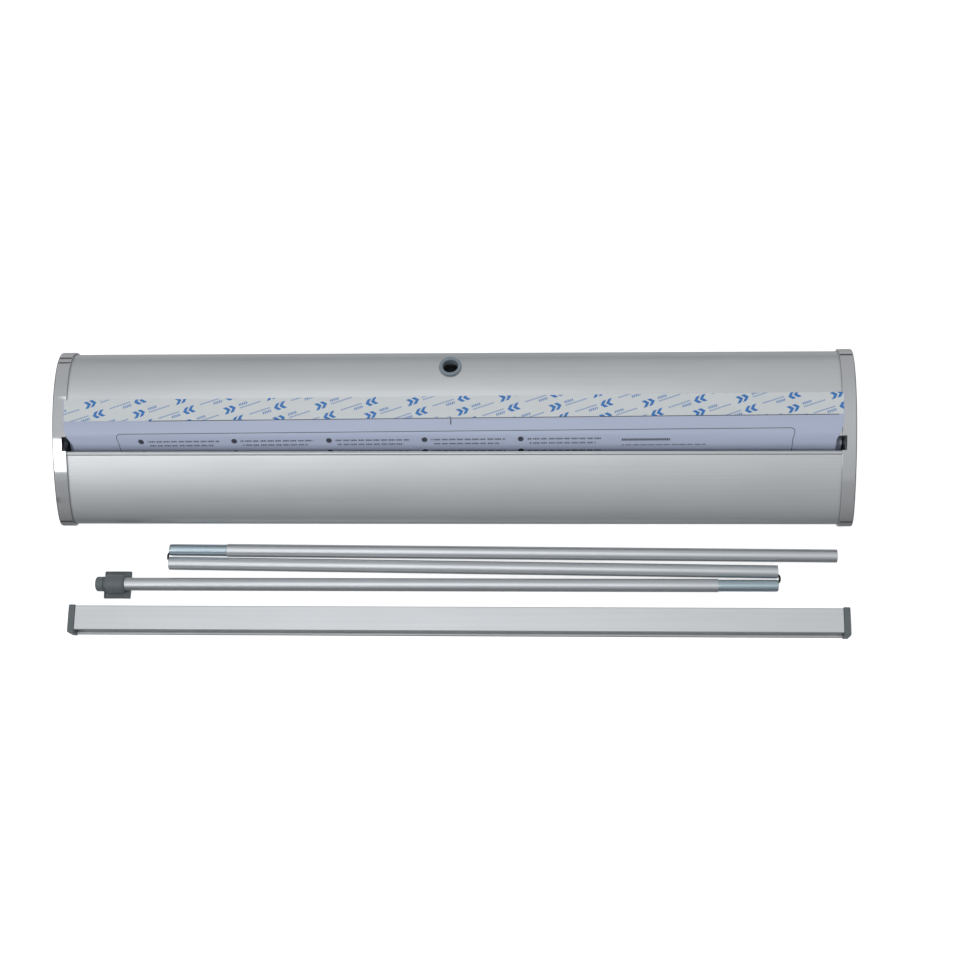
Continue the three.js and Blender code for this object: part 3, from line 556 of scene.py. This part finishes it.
# %% Section outline
def rim_outline():
    bottom, nose_height, wall_height = 4 * MM, 24 * MM, 48 * MM
    back, front = rear - crest, crest - nose
    heel, toe = 12 * MM, 16 * MM
    along_floor = ((rear - heel) - (nose + toe)) / 3
    up_wall = (wall_height - bottom - heel) / 3
    knots = [
        ((nose + toe, bottom), (nose + 6 * MM, bottom), (nose + toe + along_floor, bottom)),
        ((rear - heel, bottom), (rear - heel - along_floor, bottom), (rear - 5 * MM, bottom)),
        ((rear, bottom + heel), (rear, bottom + 5 * MM), (rear, bottom + heel + up_wall)),
        ((rear, wall_height), (rear, wall_height - up_wall),
         (rear, wall_height + (crown - wall_height) * 0.8)),
        ((crest, crown), (crest + back * 0.6, crown), (crest - front * 0.41, crown)),
        ((nose, nose_height), (nose, nose_height + (crown - nose_height) * 0.31),
         (nose, nose_height - (nose_height - bottom) * 0.6)),
    ]
    return outline(knots, resolution=28)


# %% [markdown]
# ## Shells
# Each shell is an aluminium extrusion: a thin wall that follows the section and ends at the slot. The outline
# is pulled out along X, pushed in by the end caps' lip with shrink-fatten, cut at the slot and under the
# floor with bisect, and given its wall by Solidify, much as the die gives it.


# %% Shell surfaces
def shell_surface():
    obj = rim_outline()
    run_along_x(obj, -shell_half, shell_half)
    edit(obj)
    bpy.ops.transform.shrink_fatten(value=-shell_inset)
    return obj


def keep_side(obj, y, normal_y, drop):
    """Cuts a shell's surface at a place across it and deletes the faces that a test drops."""
    edit(obj)
    bpy.ops.mesh.bisect(plane_co=(0, y, 0), plane_no=(0, normal_y, 0))
    edit(obj, "FACE", drop)
    bpy.ops.mesh.delete(type="FACE")


def make_rear_shell():
    obj = shell_surface()
    floor_side = 20 * MM
    keep_side(obj, slot_rear, 1, lambda f: middle(f).y < slot_rear and middle(f).z > floor_side)
    bottom_end = nose + 111.7 * MM
    keep_side(obj, bottom_end, 1, lambda f: middle(f).y < bottom_end and middle(f).z < floor_side)
    edit(obj, "EDGE", lambda e: e.is_boundary and middle(e).z > floor_side
         and all(abs(v.co.y - slot_rear) < 0.05 * MM for v in e.verts))
    bpy.ops.mesh.extrude_region_move(TRANSFORM_OT_translate={"value": (0, 0, -6 * MM)})
    edit(obj, "EDGE", lambda e: not e.is_boundary and middle(e).z > floor_side
         and all(abs(v.co.y - slot_rear) < 0.05 * MM for v in e.verts))
    bpy.ops.mesh.bevel(offset=1.0 * MM, segments=4)
    modify(obj, "SOLIDIFY", thickness=shell_wall, offset=-1, use_even_offset=True)
    return obj


def make_front_shell():
    obj = shell_surface()
    floor_side = 20 * MM
    keep_side(obj, slot_front, 1, lambda f: middle(f).y > slot_front and middle(f).z > floor_side)
    bottom_end = nose + 71.7 * MM
    keep_side(obj, bottom_end, 1, lambda f: middle(f).y > bottom_end and middle(f).z < floor_side)
    modify(obj, "SOLIDIFY", thickness=shell_wall, offset=-1, use_even_offset=True)
    return obj


def make_lip_bead():
    """The round bead along the front shell's edge, which the banner slides over."""
    radius, reach = 1.9 * MM, abs(cap_inside) - 0.3 * MM
    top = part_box("front_shell")[1][2]
    return cylinder(radius, 2 * reach, (0, slot_front - radius, top - radius), 32, along_x=True)


rear_shell = make_rear_shell()
front_shell = join(make_front_shell(), make_lip_bead())

# %% [markdown]
# The pole's socket goes through the rear shell near the back. The hole is drilled square to the slope there,
# so a ray dropped onto the finished shell gives its height and its tilt.


# %% Grommet
socket_low, socket_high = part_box("pole_socket_tube")
socket_y = (socket_low[1] + socket_high[1]) / 2
neck_radius = 10.35 * MM


def shell_top_at(y):
    """Height and tilt of the rear shell's outer surface at a place across it."""
    bpy.context.view_layer.update()
    _, place, normal, _ = rear_shell.ray_cast(Vector((50 * MM, y, 1)), Vector((0, 0, -1)))
    return place.z, atan2(-normal.y, normal.z)


shell_z, shell_tilt = shell_top_at(socket_y)
print(f"shell at the socket: {shell_z / MM:.1f} mm high, tilted {shell_tilt * 180 / pi:.1f} degrees")


def on_shell(obj):
    """Turns and lifts a piece modelled round Z onto the shell at the socket."""
    only(obj)
    bpy.ops.object.transform_apply(location=True, rotation=True, scale=True)
    obj.data.transform(Matrix.Translation((0, socket_y, shell_z)) @ Matrix.Rotation(shell_tilt, 4, "X"))
    return obj


def ring_by_spin(profile, axis, steps=64):
    """A closed ring, from a profile of (place along the axis, radius) spun once round X or Z."""
    obj = closed_loop([(a, 0, r) if axis == "X" else (r, 0, a) for a, r in profile])
    edit(obj, "EDGE")
    turn = (1, 0, 0) if axis == "X" else (0, 0, 1)
    bpy.ops.mesh.spin(steps=steps, angle=2 * pi, center=(0, 0, 0), axis=turn)
    edit(obj, "VERT")
    bpy.ops.mesh.remove_doubles(threshold=0.005 * MM)
    edit(obj)
    bpy.ops.mesh.normals_make_consistent(inside=False)
    only(obj)
    return obj


cut(rear_shell, on_shell(cylinder(neck_radius + 0.2 * MM, 24 * MM)))
grommet_profile = [
    (-9, 9.5), (-2.8, 9.5), (-2.2, 9.0), (-1.6, 8.35), (0.9, 8.35), (1.3, 8.5), (1.6, 8.8), (1.8, 9.4),
    (1.8, 11.1), (1.6, 11.9), (1.1, 12.4), (0.5, 12.55), (0.2, 12.5), (0.2, 10.35), (-9, 10.35),
]
grommet = on_shell(ring_by_spin([(a * MM, r * MM) for a, r in grommet_profile], "Z"))
piece(grommet, "socket_grommet", grommet_acetal, "cassette", ["pole_grommet"])
piece(rear_shell, "rear_shell_extrusion", shell_finish, "cassette", ["rear_shell"],
      40)
piece(front_shell, "front_shell_extrusion", shell_finish, "cassette",
      ["front_shell"], 40)

# %% [markdown]
# ## End caps
# The caps are chrome-plated castings: a band that wraps the shells and a closed face. The same outline is
# pulled out by the band's width and closed. The face is inset and pressed in a little, the corners get the
# radius that plating needs, and Solidify adds the wall inwards. The slot runs a few millimetres into the band.


# %% End caps
SCREW_PLACES = [(43.7 * MM, 26 * MM), (148.7 * MM, 62 * MM)]  # from the nose, above the floor


def make_end_cap(name, side):
    outside, inside = side * abs(cap_outside), side * abs(cap_inside)
    obj = rim_outline()
    run_along_x(obj, inside, outside)
    edit(obj, "EDGE", lambda e: abs(middle(e).x - outside) < 0.01 * MM and e.is_boundary)
    bpy.ops.mesh.edge_face_add()
    bpy.ops.mesh.normals_make_consistent(inside=False)
    edit(obj, "FACE", lambda f: abs(f.normal.x) > 0.9)
    bpy.ops.mesh.inset(thickness=3.5 * MM)
    bpy.ops.mesh.inset(thickness=0.8 * MM, depth=-0.7 * MM)
    edit(obj, "EDGE", lambda e: all(abs(v.co.x - outside) < 0.01 * MM for v in e.verts)
         and any(abs(f.normal.x) < 0.5 for f in e.link_faces))
    bpy.ops.mesh.bevel(offset=1.6 * MM, segments=6)
    edit(obj)
    bpy.ops.mesh.normals_make_consistent(inside=False)
    modify(obj, "SOLIDIFY", thickness=2.1 * MM, offset=-1, use_even_offset=True)
    edit(obj, "EDGE", lambda e: abs(middle(e).x - inside) < 0.01 * MM and len(e.link_faces) == 2
         and abs(e.link_faces[0].normal.dot(e.link_faces[1].normal)) < 0.5)
    bpy.ops.mesh.bevel(offset=0.45 * MM, segments=3)
    only(obj)
    notch_depth = 4.8 * MM
    cut(obj, block((inside + side * (notch_depth / 2 - 5 * MM), (slot_front + slot_rear) / 2, crown),
                   (notch_depth + 10 * MM, slot_rear - slot_front, 60 * MM)))
    for across, up in SCREW_PLACES:
        cut(obj, cylinder(3.9 * MM, 2.4 * MM, (outside, nose + across, up), 40, along_x=True))
    return piece(obj, name, chrome, "cassette", [name.replace("_casting", "")], 32)


make_end_cap("left_end_cap_casting", -1)
make_end_cap("right_end_cap_casting", 1)


# %% [markdown]
# ### Screws
# Two pan-head screws hold each cap. Each of the four is modelled the same way, a disc with its edge rounded
# and a cross recess cut in, and each has a mesh of its own.


# %% Cap screws
def make_screw(name, node, side, across, up):
    low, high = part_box(node)
    head_outside = high[0] if side > 0 else low[0]
    head = cylinder(3.5 * MM, 0.9 * MM, vertices=48)
    edit(head, "EDGE", lambda e: all(v.co.z > 0 for v in e.verts))
    bpy.ops.mesh.bevel(offset=0.4 * MM, segments=3)
    only(head)
    for turn in (0, pi / 2):
        cut(head, block((0, 0, 0.45 * MM), (4.2 * MM, 0.8 * MM, 1.2 * MM), turn))
    length = 8 * MM
    screw = join(head, cylinder(1.8 * MM, length, (0, 0, -length / 2 - 0.4 * MM), 24))
    turned = Matrix.Rotation(side * pi / 2, 4, "Y")
    place = Matrix.Translation((head_outside - side * 0.45 * MM, nose + across, up))
    screw.data.transform(place @ turned)
    return piece(screw, name, zinc, "cassette", [node], 30)


for side_name, side in (("left", -1), ("right", 1)):
    for number, (across, up) in enumerate(SCREW_PLACES, 1):
        make_screw(f"{side_name}_pan_head_screw_{number}", f"{side_name}_cap_screw_{number}", side, across,
                   up)

# %% [markdown]
# ## Leader film and adhesive strip
# The leader is a flat film that the banner is stuck to. It comes up off the roller, out of the slot, and leans
# back over the rear lip. Cloth simulation would crumple it, and a real film this stiff only bends one way, so a
# flat grid of its cut size is bent along its route. It was drawn out a little further at its right end, and
# its corners are trimmed towards the slot, so that they clear the end caps.

# %% The film's route
film_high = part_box("leader_film")[1]
film_half = film_high[0]


def film_route():
    """Points of the film's route from the roller to its free edge, as (distance, Y, Z)."""
    origin = slot_front + 14 * MM
    route = [(-12.6, 40), (-12.9, 54), (-11.9, 63), (-8.4, 71), (-3.4, 78.4), (1.2, 83.4), (5.4, 85),
             (10, 86.3), (19.5, 88.4), (31, 91.2), (42.2, 93.6), (62, 98.2)]
    places = [Vector((0, origin + y * MM, z * MM)) for y, z in route]
    curve = bpy.data.curves.new("film_route", "CURVE")
    curve.dimensions = "3D"
    curve.resolution_u = 16
    spline = curve.splines.new("BEZIER")
    spline.bezier_points.add(len(places) - 1)
    for point, place in zip(spline.bezier_points, places):
        point.co = place
        point.handle_left_type = point.handle_right_type = "AUTO"
    obj = bpy.data.objects.new("film_route", curve)
    bpy.context.collection.objects.link(obj)
    only(obj)
    bpy.ops.object.convert(target="MESH")
    line = [v.co.copy() for v in obj.data.vertices]
    bpy.data.objects.remove(obj)
    distances = [0.0]
    for first, second in zip(line, line[1:]):
        distances.append(distances[-1] + (second - first).length)
    return distances, line


route_distances, route_line = film_route()
free_edge = next(d for d, p in zip(route_distances, route_line) if p.y > film_high[1] - 0.2 * MM)
print(f"film route: {free_edge / MM:.1f} mm from the roller to the free edge")


def on_route(distance, lift):
    """The point at a distance along the route, lifted square to the film."""
    i = max(1, next((k for k, d in enumerate(route_distances) if d > distance), len(route_line) - 1))
    first, second = route_line[i - 1], route_line[i]
    share = (distance - route_distances[i - 1]) / (route_distances[i] - route_distances[i - 1])
    along = (second - first).normalized()
    square = Vector((0, -along.z, along.y))
    return first.lerp(second, share) + square * lift


# %% The film and the strip
DRAWN_SKEW = 3.2 * MM  # half the difference between the film's two ends
TRIM = 8.0 * MM  # how much narrower the film is at the slot, at each side


def bend_flat_sheet(width, length, lift, across_steps, along_steps, trim):
    """A flat sheet of its cut size, bent along the film's route and marked with its flat place."""
    bpy.ops.object.select_all(action="DESELECT")
    bpy.ops.mesh.primitive_grid_add(x_subdivisions=across_steps, y_subdivisions=along_steps, size=1)
    obj = bpy.context.object
    edit(obj)
    bpy.ops.transform.resize(value=(width, length, 1))
    bpy.ops.transform.translate(value=(0, length / 2, 0))
    only(obj)
    flat = {v.index: v.co.copy() for v in obj.data.vertices}
    for layer in list(obj.data.uv_layers):
        obj.data.uv_layers.remove(layer)
    marks = obj.data.uv_layers.new(name="flat_place")
    for loop in obj.data.loops:
        marks.data[loop.index].uv = flat[loop.vertex_index].xy
    for vertex in obj.data.vertices:
        x, back = flat[vertex.index].xy
        start = max(0.0, back - 24 * MM)
        taper = trim * min(1.0, start / (27 * MM)) ** 2
        edge = x / (width / 2)
        end = free_edge + DRAWN_SKEW * edge
        curl = 0.5 * MM * max(0.0, abs(edge) - 0.97) / 0.03 * max(0.0, 1 - back / (30 * MM))
        place = on_route(max(end - back, 0.0), lift + curl)
        vertex.co = (x - edge ** 7 * taper, place.y, place.z)
    edit(obj)
    bpy.ops.mesh.flip_normals()
    return obj


film_length = free_edge - 3.5 * MM
film = bend_flat_sheet(2 * film_half, film_length, 0.0, 85, 60, TRIM)
modify(film, "SOLIDIFY", thickness=0.3 * MM, offset=-1)
piece(film, "leader_film_sheet", leader_finish, "cassette", ["leader_film"], 50)
tape_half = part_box("adhesive_tape")[1][0]
tape = bend_flat_sheet(2 * tape_half, 23.5 * MM, 0.25 * MM, 85, 16, 0.0)
modify(tape, "SOLIDIFY", thickness=0.3 * MM, offset=1)
piece(tape, "adhesive_strip_liner", liner_finish, "leader_edge", ["adhesive_tape"], 50)

# %% [markdown]
# ## Pole
# Each section is a drawn aluminium tube of 14.5 mm. It is a cylinder whose ends are opened, broken at the
# edge with a small chamfer and given a wall. Each one is modelled on X and then laid along its own axis.


# %% Tubes and ferrules
def lay_along(obj, start, end):
    """Moves a piece modelled along +X from the origin onto the line between two points."""
    direction = end - start
    only(obj)
    bpy.ops.object.transform_apply(location=True, rotation=True, scale=True)
    obj.data.transform(Matrix.Translation(start) @ Matrix.Rotation(atan2(direction.y, direction.x), 4, "Z"))
    return obj


def make_tube(name, node, body):
    start, end = axis_of(node)
    length, radius, wall = (end - start).length, 7.25 * MM, 1.2 * MM
    profile = [(0.4 * MM, radius - wall), (length - 0.4 * MM, radius - wall),
               (length, radius - wall + 0.3 * MM), (length, radius - 0.35 * MM),
               (length - 0.1 * MM, radius - 0.1 * MM), (length - 0.35 * MM, radius), (0.35 * MM,
                                                                                      radius),
                                                                                      (0.1 * MM,
                                                                                       radius - 0.1 * MM),
                                                                                       (0,
                                                                                        radius - 0.35 * MM),
               (0, radius - wall + 0.3 * MM)]
    tube = lay_along(ring_by_spin(profile, "X", 72), start, end)
    return piece(tube, name, tube_finish, body, [node], 30)


def make_ferrule(name, node, body, mouth_low):
    start, end = axis_of(node)
    if not mouth_low:
        start, end = end, start
    length, radius, wall = (end - start).length, 6.5 * MM, 0.6 * MM
    shown = 64.6 * MM
    profile = [(0.25 * MM, radius - wall), (length, 5.05 * MM), (length, 5.65 * MM), (shown, 5.65 * MM),
               (shown, radius - 0.1 * MM), (shown - 0.3 * MM, radius), (2.0 * MM, radius),
               (0.9 * MM, radius - 0.15 * MM), (0.2 * MM, radius - 0.35 * MM), (0, radius - 0.5 * MM)]
    ferrule = lay_along(ring_by_spin(profile, "X", 64), start, end)
    return piece(ferrule, name, zinc, body, [node], 30)


make_tube("bottom_tube", "pole_bottom_tube", "pole_bottom")
make_tube("middle_tube", "pole_middle_tube", "pole_middle")
make_tube("top_tube", "pole_top_tube", "pole_top")
make_ferrule("bottom_section_ferrule", "bottom_ferrule", "pole_bottom", True)
make_ferrule("top_section_ferrule", "top_ferrule", "pole_top", False)

# %% [markdown]
# ### Elastic cord
# One elastic cord runs through all three tubes and shows as a short bend at each fold. Where a fold swings
# over, the real cord stretches from mouth to mouth. Each bend is made in two lengths that meet in its middle:
# the first follows the tube behind it into the fold, the second follows the fold into the tube in front.


# %% Cord bends
CORD_RADIUS = 1.3 * MM


def tube_along(points, radius, sides=16):
    """A mesh tube of one radius along a list of points."""
    curve = bpy.data.curves.new("cord", "CURVE")
    curve.dimensions = "3D"
    curve.bevel_depth = radius
    curve.bevel_resolution = sides // 4 - 2
    curve.use_fill_caps = True
    curve.resolution_u = 8
    spline = curve.splines.new("BEZIER")
    spline.bezier_points.add(len(points) - 1)
    for point, place in zip(spline.bezier_points, points):
        point.co = place
        point.handle_left_type = point.handle_right_type = "AUTO"
    obj = bpy.data.objects.new("cord", curve)
    bpy.context.collection.objects.link(obj)
    only(obj)
    bpy.ops.object.convert(target="MESH")
    edit(obj, "VERT")
    bpy.ops.mesh.remove_doubles(threshold=0.01 * MM)
    edit(obj)
    bpy.ops.mesh.normals_make_consistent(inside=False)
    only(obj)
    return obj


def make_cord_bend(name, rear_node, front_node, outward, bodies):
    rear_body, fold_body, front_body = bodies
    boxes = [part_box(node) for node in (rear_node, front_node)]
    rear_y = boxes[0][1][1] - CORD_RADIUS
    front_y = boxes[1][0][1] + CORD_RADIUS
    out = boxes[0][1][0] - CORD_RADIUS if outward > 0 else boxes[0][0][0] + CORD_RADIUS
    mouth = out - outward * 3 * MM
    z = (boxes[0][0][2] + boxes[0][1][2]) / 2
    reach = rear_y - front_y
    half = [(-5.5, 0), (-3, 0), (-0.5, 0), (1.0, 0.1), (1.9, 0.28), (2.1, 0.5)]

    def place(along, share):
        return Vector((mouth + outward * along * MM, rear_y - share * reach, z))

    first = tube_along([place(a, s) for a, s in half], CORD_RADIUS)
    second = tube_along([place(a, 1 - s) for a, s in reversed(half)], CORD_RADIUS)
    piece(first, f"{name}_rear_half", braid, rear_body, [rear_node], 60, ride=False)
    piece(second, f"{name}_front_half", braid, front_body, [front_node], 60, ride=False)
    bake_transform(first)
    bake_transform(second)


make_cord_bend("lower_cord_sheath", "lower_cord_bend_rear_half", "lower_cord_bend_front_half", -1,
               ("pole_bottom", "lower_fold", "pole_middle"))
make_cord_bend("upper_cord_sheath", "upper_cord_bend_rear_half", "upper_cord_bend_front_half", 1,
               ("pole_middle", "upper_fold", "pole_top"))

# %% [markdown]
# ### Head
# The head is one moulding: a stub that enters the rail, a barrel that grips the tube, and a flat plate below
# them whose wings slide in the rail's channel. Turned parts are spun and the plate is a bevelled block with
# raised edges, and a boolean makes them one piece that is flat underneath.


# %% Pole head
def make_head():
    tube_start = axis_of("pole_top_tube")[0]
    tip = Vector((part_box("pole_head")[0][0], tube_start.y, tube_start.z))
    stub = [(0, 0.001), (0, 5.6), (0.35, 6.9), (1.3, 8.0), (2.6, 8.3), (8.7, 8.3), (9, 8.0), (9, 7.3),
            (11.8, 7.3), (11.8, 9.9), (12.3, 10.4), (29, 10.4), (31, 10.1), (32.2, 9.4), (32.9, 8.4),
            (33, 7.55), (15.7, 7.55), (15.7, 0.001)]
    body = ring_by_spin([(a * MM, r * MM) for a, r in stub], "X", 72)
    plate_low = Vector((8, -15.3, -7.25)) * MM
    plate_size = Vector((30, 30.6, 3.2)) * MM
    plate = block(plate_low + plate_size / 2, plate_size)
    bpy.ops.object.transform_apply(location=True, rotation=True, scale=True)
    top = plate_low.z + plate_size.z
    edit(plate, "FACE", lambda f: f.normal.z > 0.9)
    bpy.ops.mesh.inset(thickness=1.4 * MM, depth=0)
    bpy.ops.mesh.inset(thickness=0.3 * MM, depth=-0.9 * MM)
    edit(plate, "EDGE", lambda e: abs(e.calc_face_angle(0)) > 1.2 and middle(e).z > top - 0.2 * MM)
    bpy.ops.mesh.bevel(offset=0.4 * MM, segments=3)
    edit(plate, "EDGE", lambda e: abs((e.verts[0].co - e.verts[1].co).normalized().z) > 0.95)
    bpy.ops.mesh.bevel(offset=0.7 * MM, segments=3)
    only(plate)
    # the tube's place in the plate is cut first, so that the plate never enters the tube
    cut(plate, cylinder(7.55 * MM, 40 * MM, (35.7 * MM, 0, 0), along_x=True))
    modify(body, "BOOLEAN", operation="UNION", solver="EXACT", object=plate)
    bpy.data.objects.remove(plate)
    cut(body, block((20 * MM, 0, -27.25 * MM), (60 * MM, 60 * MM, 40 * MM)))
    body.data.transform(Matrix.Translation(tip))
    return piece(body, "pole_head_moulding", grey_abs, "pole_top", ["pole_head"], 30)


make_head()

# %% [markdown]
# ## Top rail
# The rail is an open channel: a broad face, a rear web and a back plate with a hooked lip. Its section is a
# closed outline pulled along X. The edges are broken with Bevel, which catches the thin highlights that an
# extrusion shows.


# %% Rail profile
def make_rail():
    low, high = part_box("rail_profile")
    face, depth, wall, hook, lip, rise = 27.0, 30.0, 2.2, 1.4, 2.4, 3.0
    bottom, top = low[2] / MM, high[2] / MM
    section = [
        (0, bottom), (0, top - 1.0), (-0.3, top - 0.3), (-1.0, top), (-face + 0.8, top), (-face, top - 0.8),
        (-face, top - wall - hook), (-face + hook, top - wall - hook), (-face + hook, top - wall),
        (-wall, top - wall), (-wall, bottom + wall), (-depth + lip, bottom + wall),
        (-depth + lip, bottom + wall + rise), (-depth + 0.6, bottom + wall + rise),
        (-depth, bottom + wall + rise - 0.6), (-depth, bottom),
    ]
    obj = closed_loop([(low[0], high[1] + y * MM, z * MM) for y, z in section], fill=True)
    edit(obj)
    bpy.ops.mesh.extrude_region_move(TRANSFORM_OT_translate={"value": (high[0] - low[0], 0, 0)})
    edit(obj)
    bpy.ops.mesh.normals_make_consistent(inside=False)
    only(obj)
    modify(obj, "BEVEL", width=0.25 * MM, segments=2, limit_method="ANGLE", angle_limit=radians(40))
    return piece(obj, "rail_extrusion", rail_finish, "rail", ["rail_profile"], 30)


def make_rail_cap(name, node, side):
    low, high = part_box(node)
    outside = high[0] if side > 0 else low[0]
    plate_inside = outside - side * 7.2 * MM
    front, back, top = low[1], high[1], high[2]
    obj = block(((outside + plate_inside) / 2, (front + back) / 2, top / 2),
                (abs(outside - plate_inside), back - front, top))
    bpy.ops.object.transform_apply(location=True, rotation=True, scale=True)
    for side_place, width, segments in ((front, 2.7 * MM, 4), (back, 1.2 * MM, 3)):
        edit(obj, "EDGE", lambda e: abs(middle(e).x - outside) < 0.01 * MM
             and abs(middle(e).y - side_place) < 0.01 * MM)
        bpy.ops.mesh.bevel(offset=width, segments=segments)
    only(obj)
    modify(obj, "BEVEL", width=0.5 * MM, segments=3, limit_method="ANGLE", angle_limit=radians(50))
    rail_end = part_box("rail_profile")[1 if side > 0 else 0][0]
    plug_length = 14 * MM
    plug = block((rail_end - side * plug_length / 2, back - 14.9 * MM, 9.4 * MM),
                 (plug_length + 1 * MM, 22.2 * MM, 12.2 * MM))
    modify(plug, "BEVEL", width=0.4 * MM, segments=2)
    modify(obj, "BOOLEAN", operation="UNION", solver="EXACT", object=plug)
    bpy.data.objects.remove(plug)
    return piece(obj, name, grey_abs, "rail", [node], 30)


make_rail()
make_rail_cap("left_rail_cap_moulding", "left_rail_cap", -1)
make_rail_cap("right_rail_cap_moulding", "right_rail_cap", 1)

# %% [markdown]
# ## Parts that keep their CAD shape
# What sits inside the cassette or under it is already the right shape. It only needs its real finish, which
# goes into the node's material slots.

# %% Finishes for the remaining nodes
CAD_FINISHES = {
    sheet_steel: ["base_plate", "left_bearing_plate", "right_bearing_plate", "pole_socket_tube",
                  "left_axle",
                  "tension_shaft", "roller_spring"],
    rubber: ["left_front_foot", "left_rear_foot", "right_front_foot", "right_rear_foot"],
    grey_abs: ["pole_socket_foot", "pin_clip_1", "pin_clip_2", "left_roller_plug", "right_roller_plug",
               "bottom_cord_anchor", "top_cord_anchor"],
    zinc: ["locking_pin"],
    tube_finish: ["roller_tube"],
    braid: ["cord_in_bottom_tube", "cord_in_middle_tube", "cord_in_top_tube"],
}
plain_film, plain_tree, plain_shader = finish("wound_polyester_film", "#b4bed6", 0.36, IOR=1.57)
give(plain_shader,
     Normal=add(plain_tree, "Bump", Strength=0.2, Distance=0.05 * MM,
                Height=mottle(plain_tree, (3, 1500, 1500), 2.0)))
CAD_FINISHES[plain_film] = ["leader_roll"]
for material, nodes in CAD_FINISHES.items():
    for node in nodes:
        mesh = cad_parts[node].data
        mesh.materials.clear()
        mesh.materials.append(material)
print("CAD nodes with a finish:", sum(len(nodes) for nodes in CAD_FINISHES.values()))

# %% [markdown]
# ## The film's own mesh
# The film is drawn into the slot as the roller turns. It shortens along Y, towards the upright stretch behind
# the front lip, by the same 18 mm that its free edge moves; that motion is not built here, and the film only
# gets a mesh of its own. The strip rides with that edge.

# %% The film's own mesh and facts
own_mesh(film)
print(f"the film is cut {2 * film_half / MM:.0f} by {film_length / MM:.1f} mm")

# %% [markdown]
# ## Floor, light and camera
# A plain pale floor, a large soft light overhead and a dim grey room. Satin metal shows what it faces, so the
# room is darker near the horizon than overhead, which turns the shells' sides grey.


# %% Floor
def make_floor():
    bpy.ops.object.select_all(action="DESELECT")
    bpy.ops.mesh.primitive_plane_add(size=14)
    floor_plane = bpy.context.object
    floor_plane.name = "floor"
    material, tree, shader = finish("pale_floor", "#ffffff", 0.9)
    shader.inputs["Specular IOR Level"].default_value = 0.0
    shader.inputs["Emission Color"].default_value = (1, 1, 1, 1)
    shader.inputs["Emission Strength"].default_value = 0.6
    floor_plane.data.materials.append(material)
    floor_plane.visible_glossy = False


make_floor()


# %% Lights and room
def area_light(name, place, aim, size, power, tint="#ffffff"):
    light = bpy.data.lights.new(name, "AREA")
    light.shape = "RECTANGLE"
    light.size, light.size_y = size
    light.energy = power
    light.color = colour(tint)[:3]
    obj = bpy.data.objects.new(name, light)
    obj.location = place
    obj.rotation_euler = (Vector(aim) - Vector(place)).to_track_quat("-Z", "Y").to_euler()
    bpy.context.scene.collection.objects.link(obj)


area_light("overhead_softbox", (-0.3, -0.1, 2.4), (0.0, 0.0, 0.0), (1.8, 1.2), 6, "#fbfdff")

# brightness round the room, by the angle from straight up, with the front as positive
ROOM = [(-180, 0.44), (-122, 0.50), (-100, 0.60), (-92, 0.62), (-90, 0.12), (-83, 0.12), (-81, 0.58),
        (-50, 0.62), (-30, 0.64), (-12, 0.72), (8, 0.78), (24, 0.74), (40, 0.64), (43, 0.52), (72, 0.36),
        (96, 0.27), (99, 0.06), (104, 0.06), (107, 0.26), (180, 0.30)]
room = bpy.data.worlds.new("studio")
bpy.context.scene.world = room
room.use_nodes = True
room_tree = room.node_tree
background = room_tree.nodes["Background"]
outwards = add(room_tree, "TexCoord")
split = add(room_tree, "SeparateXYZ", Vector=outwards.outputs["Generated"])
right, back, up = split.outputs
angle = add(room_tree, "Math", "ARCTAN2", add(room_tree, "Math", "MULTIPLY", back, -1.0), up)
turn = add(room_tree, "Math", "MULTIPLY_ADD", angle, 1 / (2 * pi), 0.5)
ramp = add(room_tree, "ValToRGB", None, turn)
stops = ramp.color_ramp.elements
for place, level in ROOM[1:-1]:
    stops.new(place / 360 + 0.5)
for stop, (place, level) in zip(stops, ROOM):
    stop.position = place / 360 + 0.5
    stop.color = (level, level * 1.01, level * 1.025, 1)
panel_across = add(room_tree, "MapRange", None, right, -0.30, -0.21, 1.0, 0.0)
panel_along = add(room_tree, "Math", "COMPARE", angle, radians(28), radians(8.5))
panel = add(room_tree, "Math", "MULTIPLY", add(room_tree, "Math", "MULTIPLY", panel_across, panel_along),
            2.3)
light = add(room_tree, "Mix", {"data_type": "RGBA", "blend_type": "ADD"}, panel,
            ramp.outputs[0], (1, 1, 1, 1))
light.clamp_factor = False
# black cards: one at each side, and three small ones that only the chrome is sharp enough to show
sideways = add(room_tree, "MapRange", None, add(room_tree, "Math", "ABSOLUTE", right), 0.72, 0.80, 0.0,
               0.85)
cards = [bar(room_tree, right, angle, low, high, radians(first), radians(last))
         for low, high, first, last in ((-0.6, -0.2, -67, -62), (-0.5, -0.33, -30, -24),
                                        (-0.5, -0.31, 53, 58))]
shadow = any_of(room_tree, [sideways, add(room_tree, "Math", "MULTIPLY", any_of(room_tree, cards), 0.8)])
surround = add(room_tree, "Mix", {"data_type": "RGBA"}, shadow, light.outputs[2], colour("#2b2c2e"))
give(background, Color=surround)
background.inputs["Strength"].default_value = 1.0

# %% [markdown]
# Its place and its three turns are set here as one matrix: leaned to the side about Y, tilted back about X
# and rolled about its own axis.

# %% Camera
camera_data = bpy.data.cameras.new("camera")
camera_data.lens = 61.3
camera_data.sensor_width = 36
camera_data.clip_end = 100
camera = bpy.data.objects.new("camera", camera_data)
bpy.context.scene.collection.objects.link(camera)
lean = Matrix.Rotation(radians(3.278), 4, "Y")
tilt = Matrix.Rotation(radians(14.4), 4, "X")
roll = Matrix.Rotation(radians(0.793), 4, "Z")
camera.matrix_world = Matrix.Translation((0.1383, -0.4465, 1.8007)) @ lean @ tilt @ roll
bpy.context.scene.camera = camera
bpy.context.scene.view_settings.view_transform = "Standard"
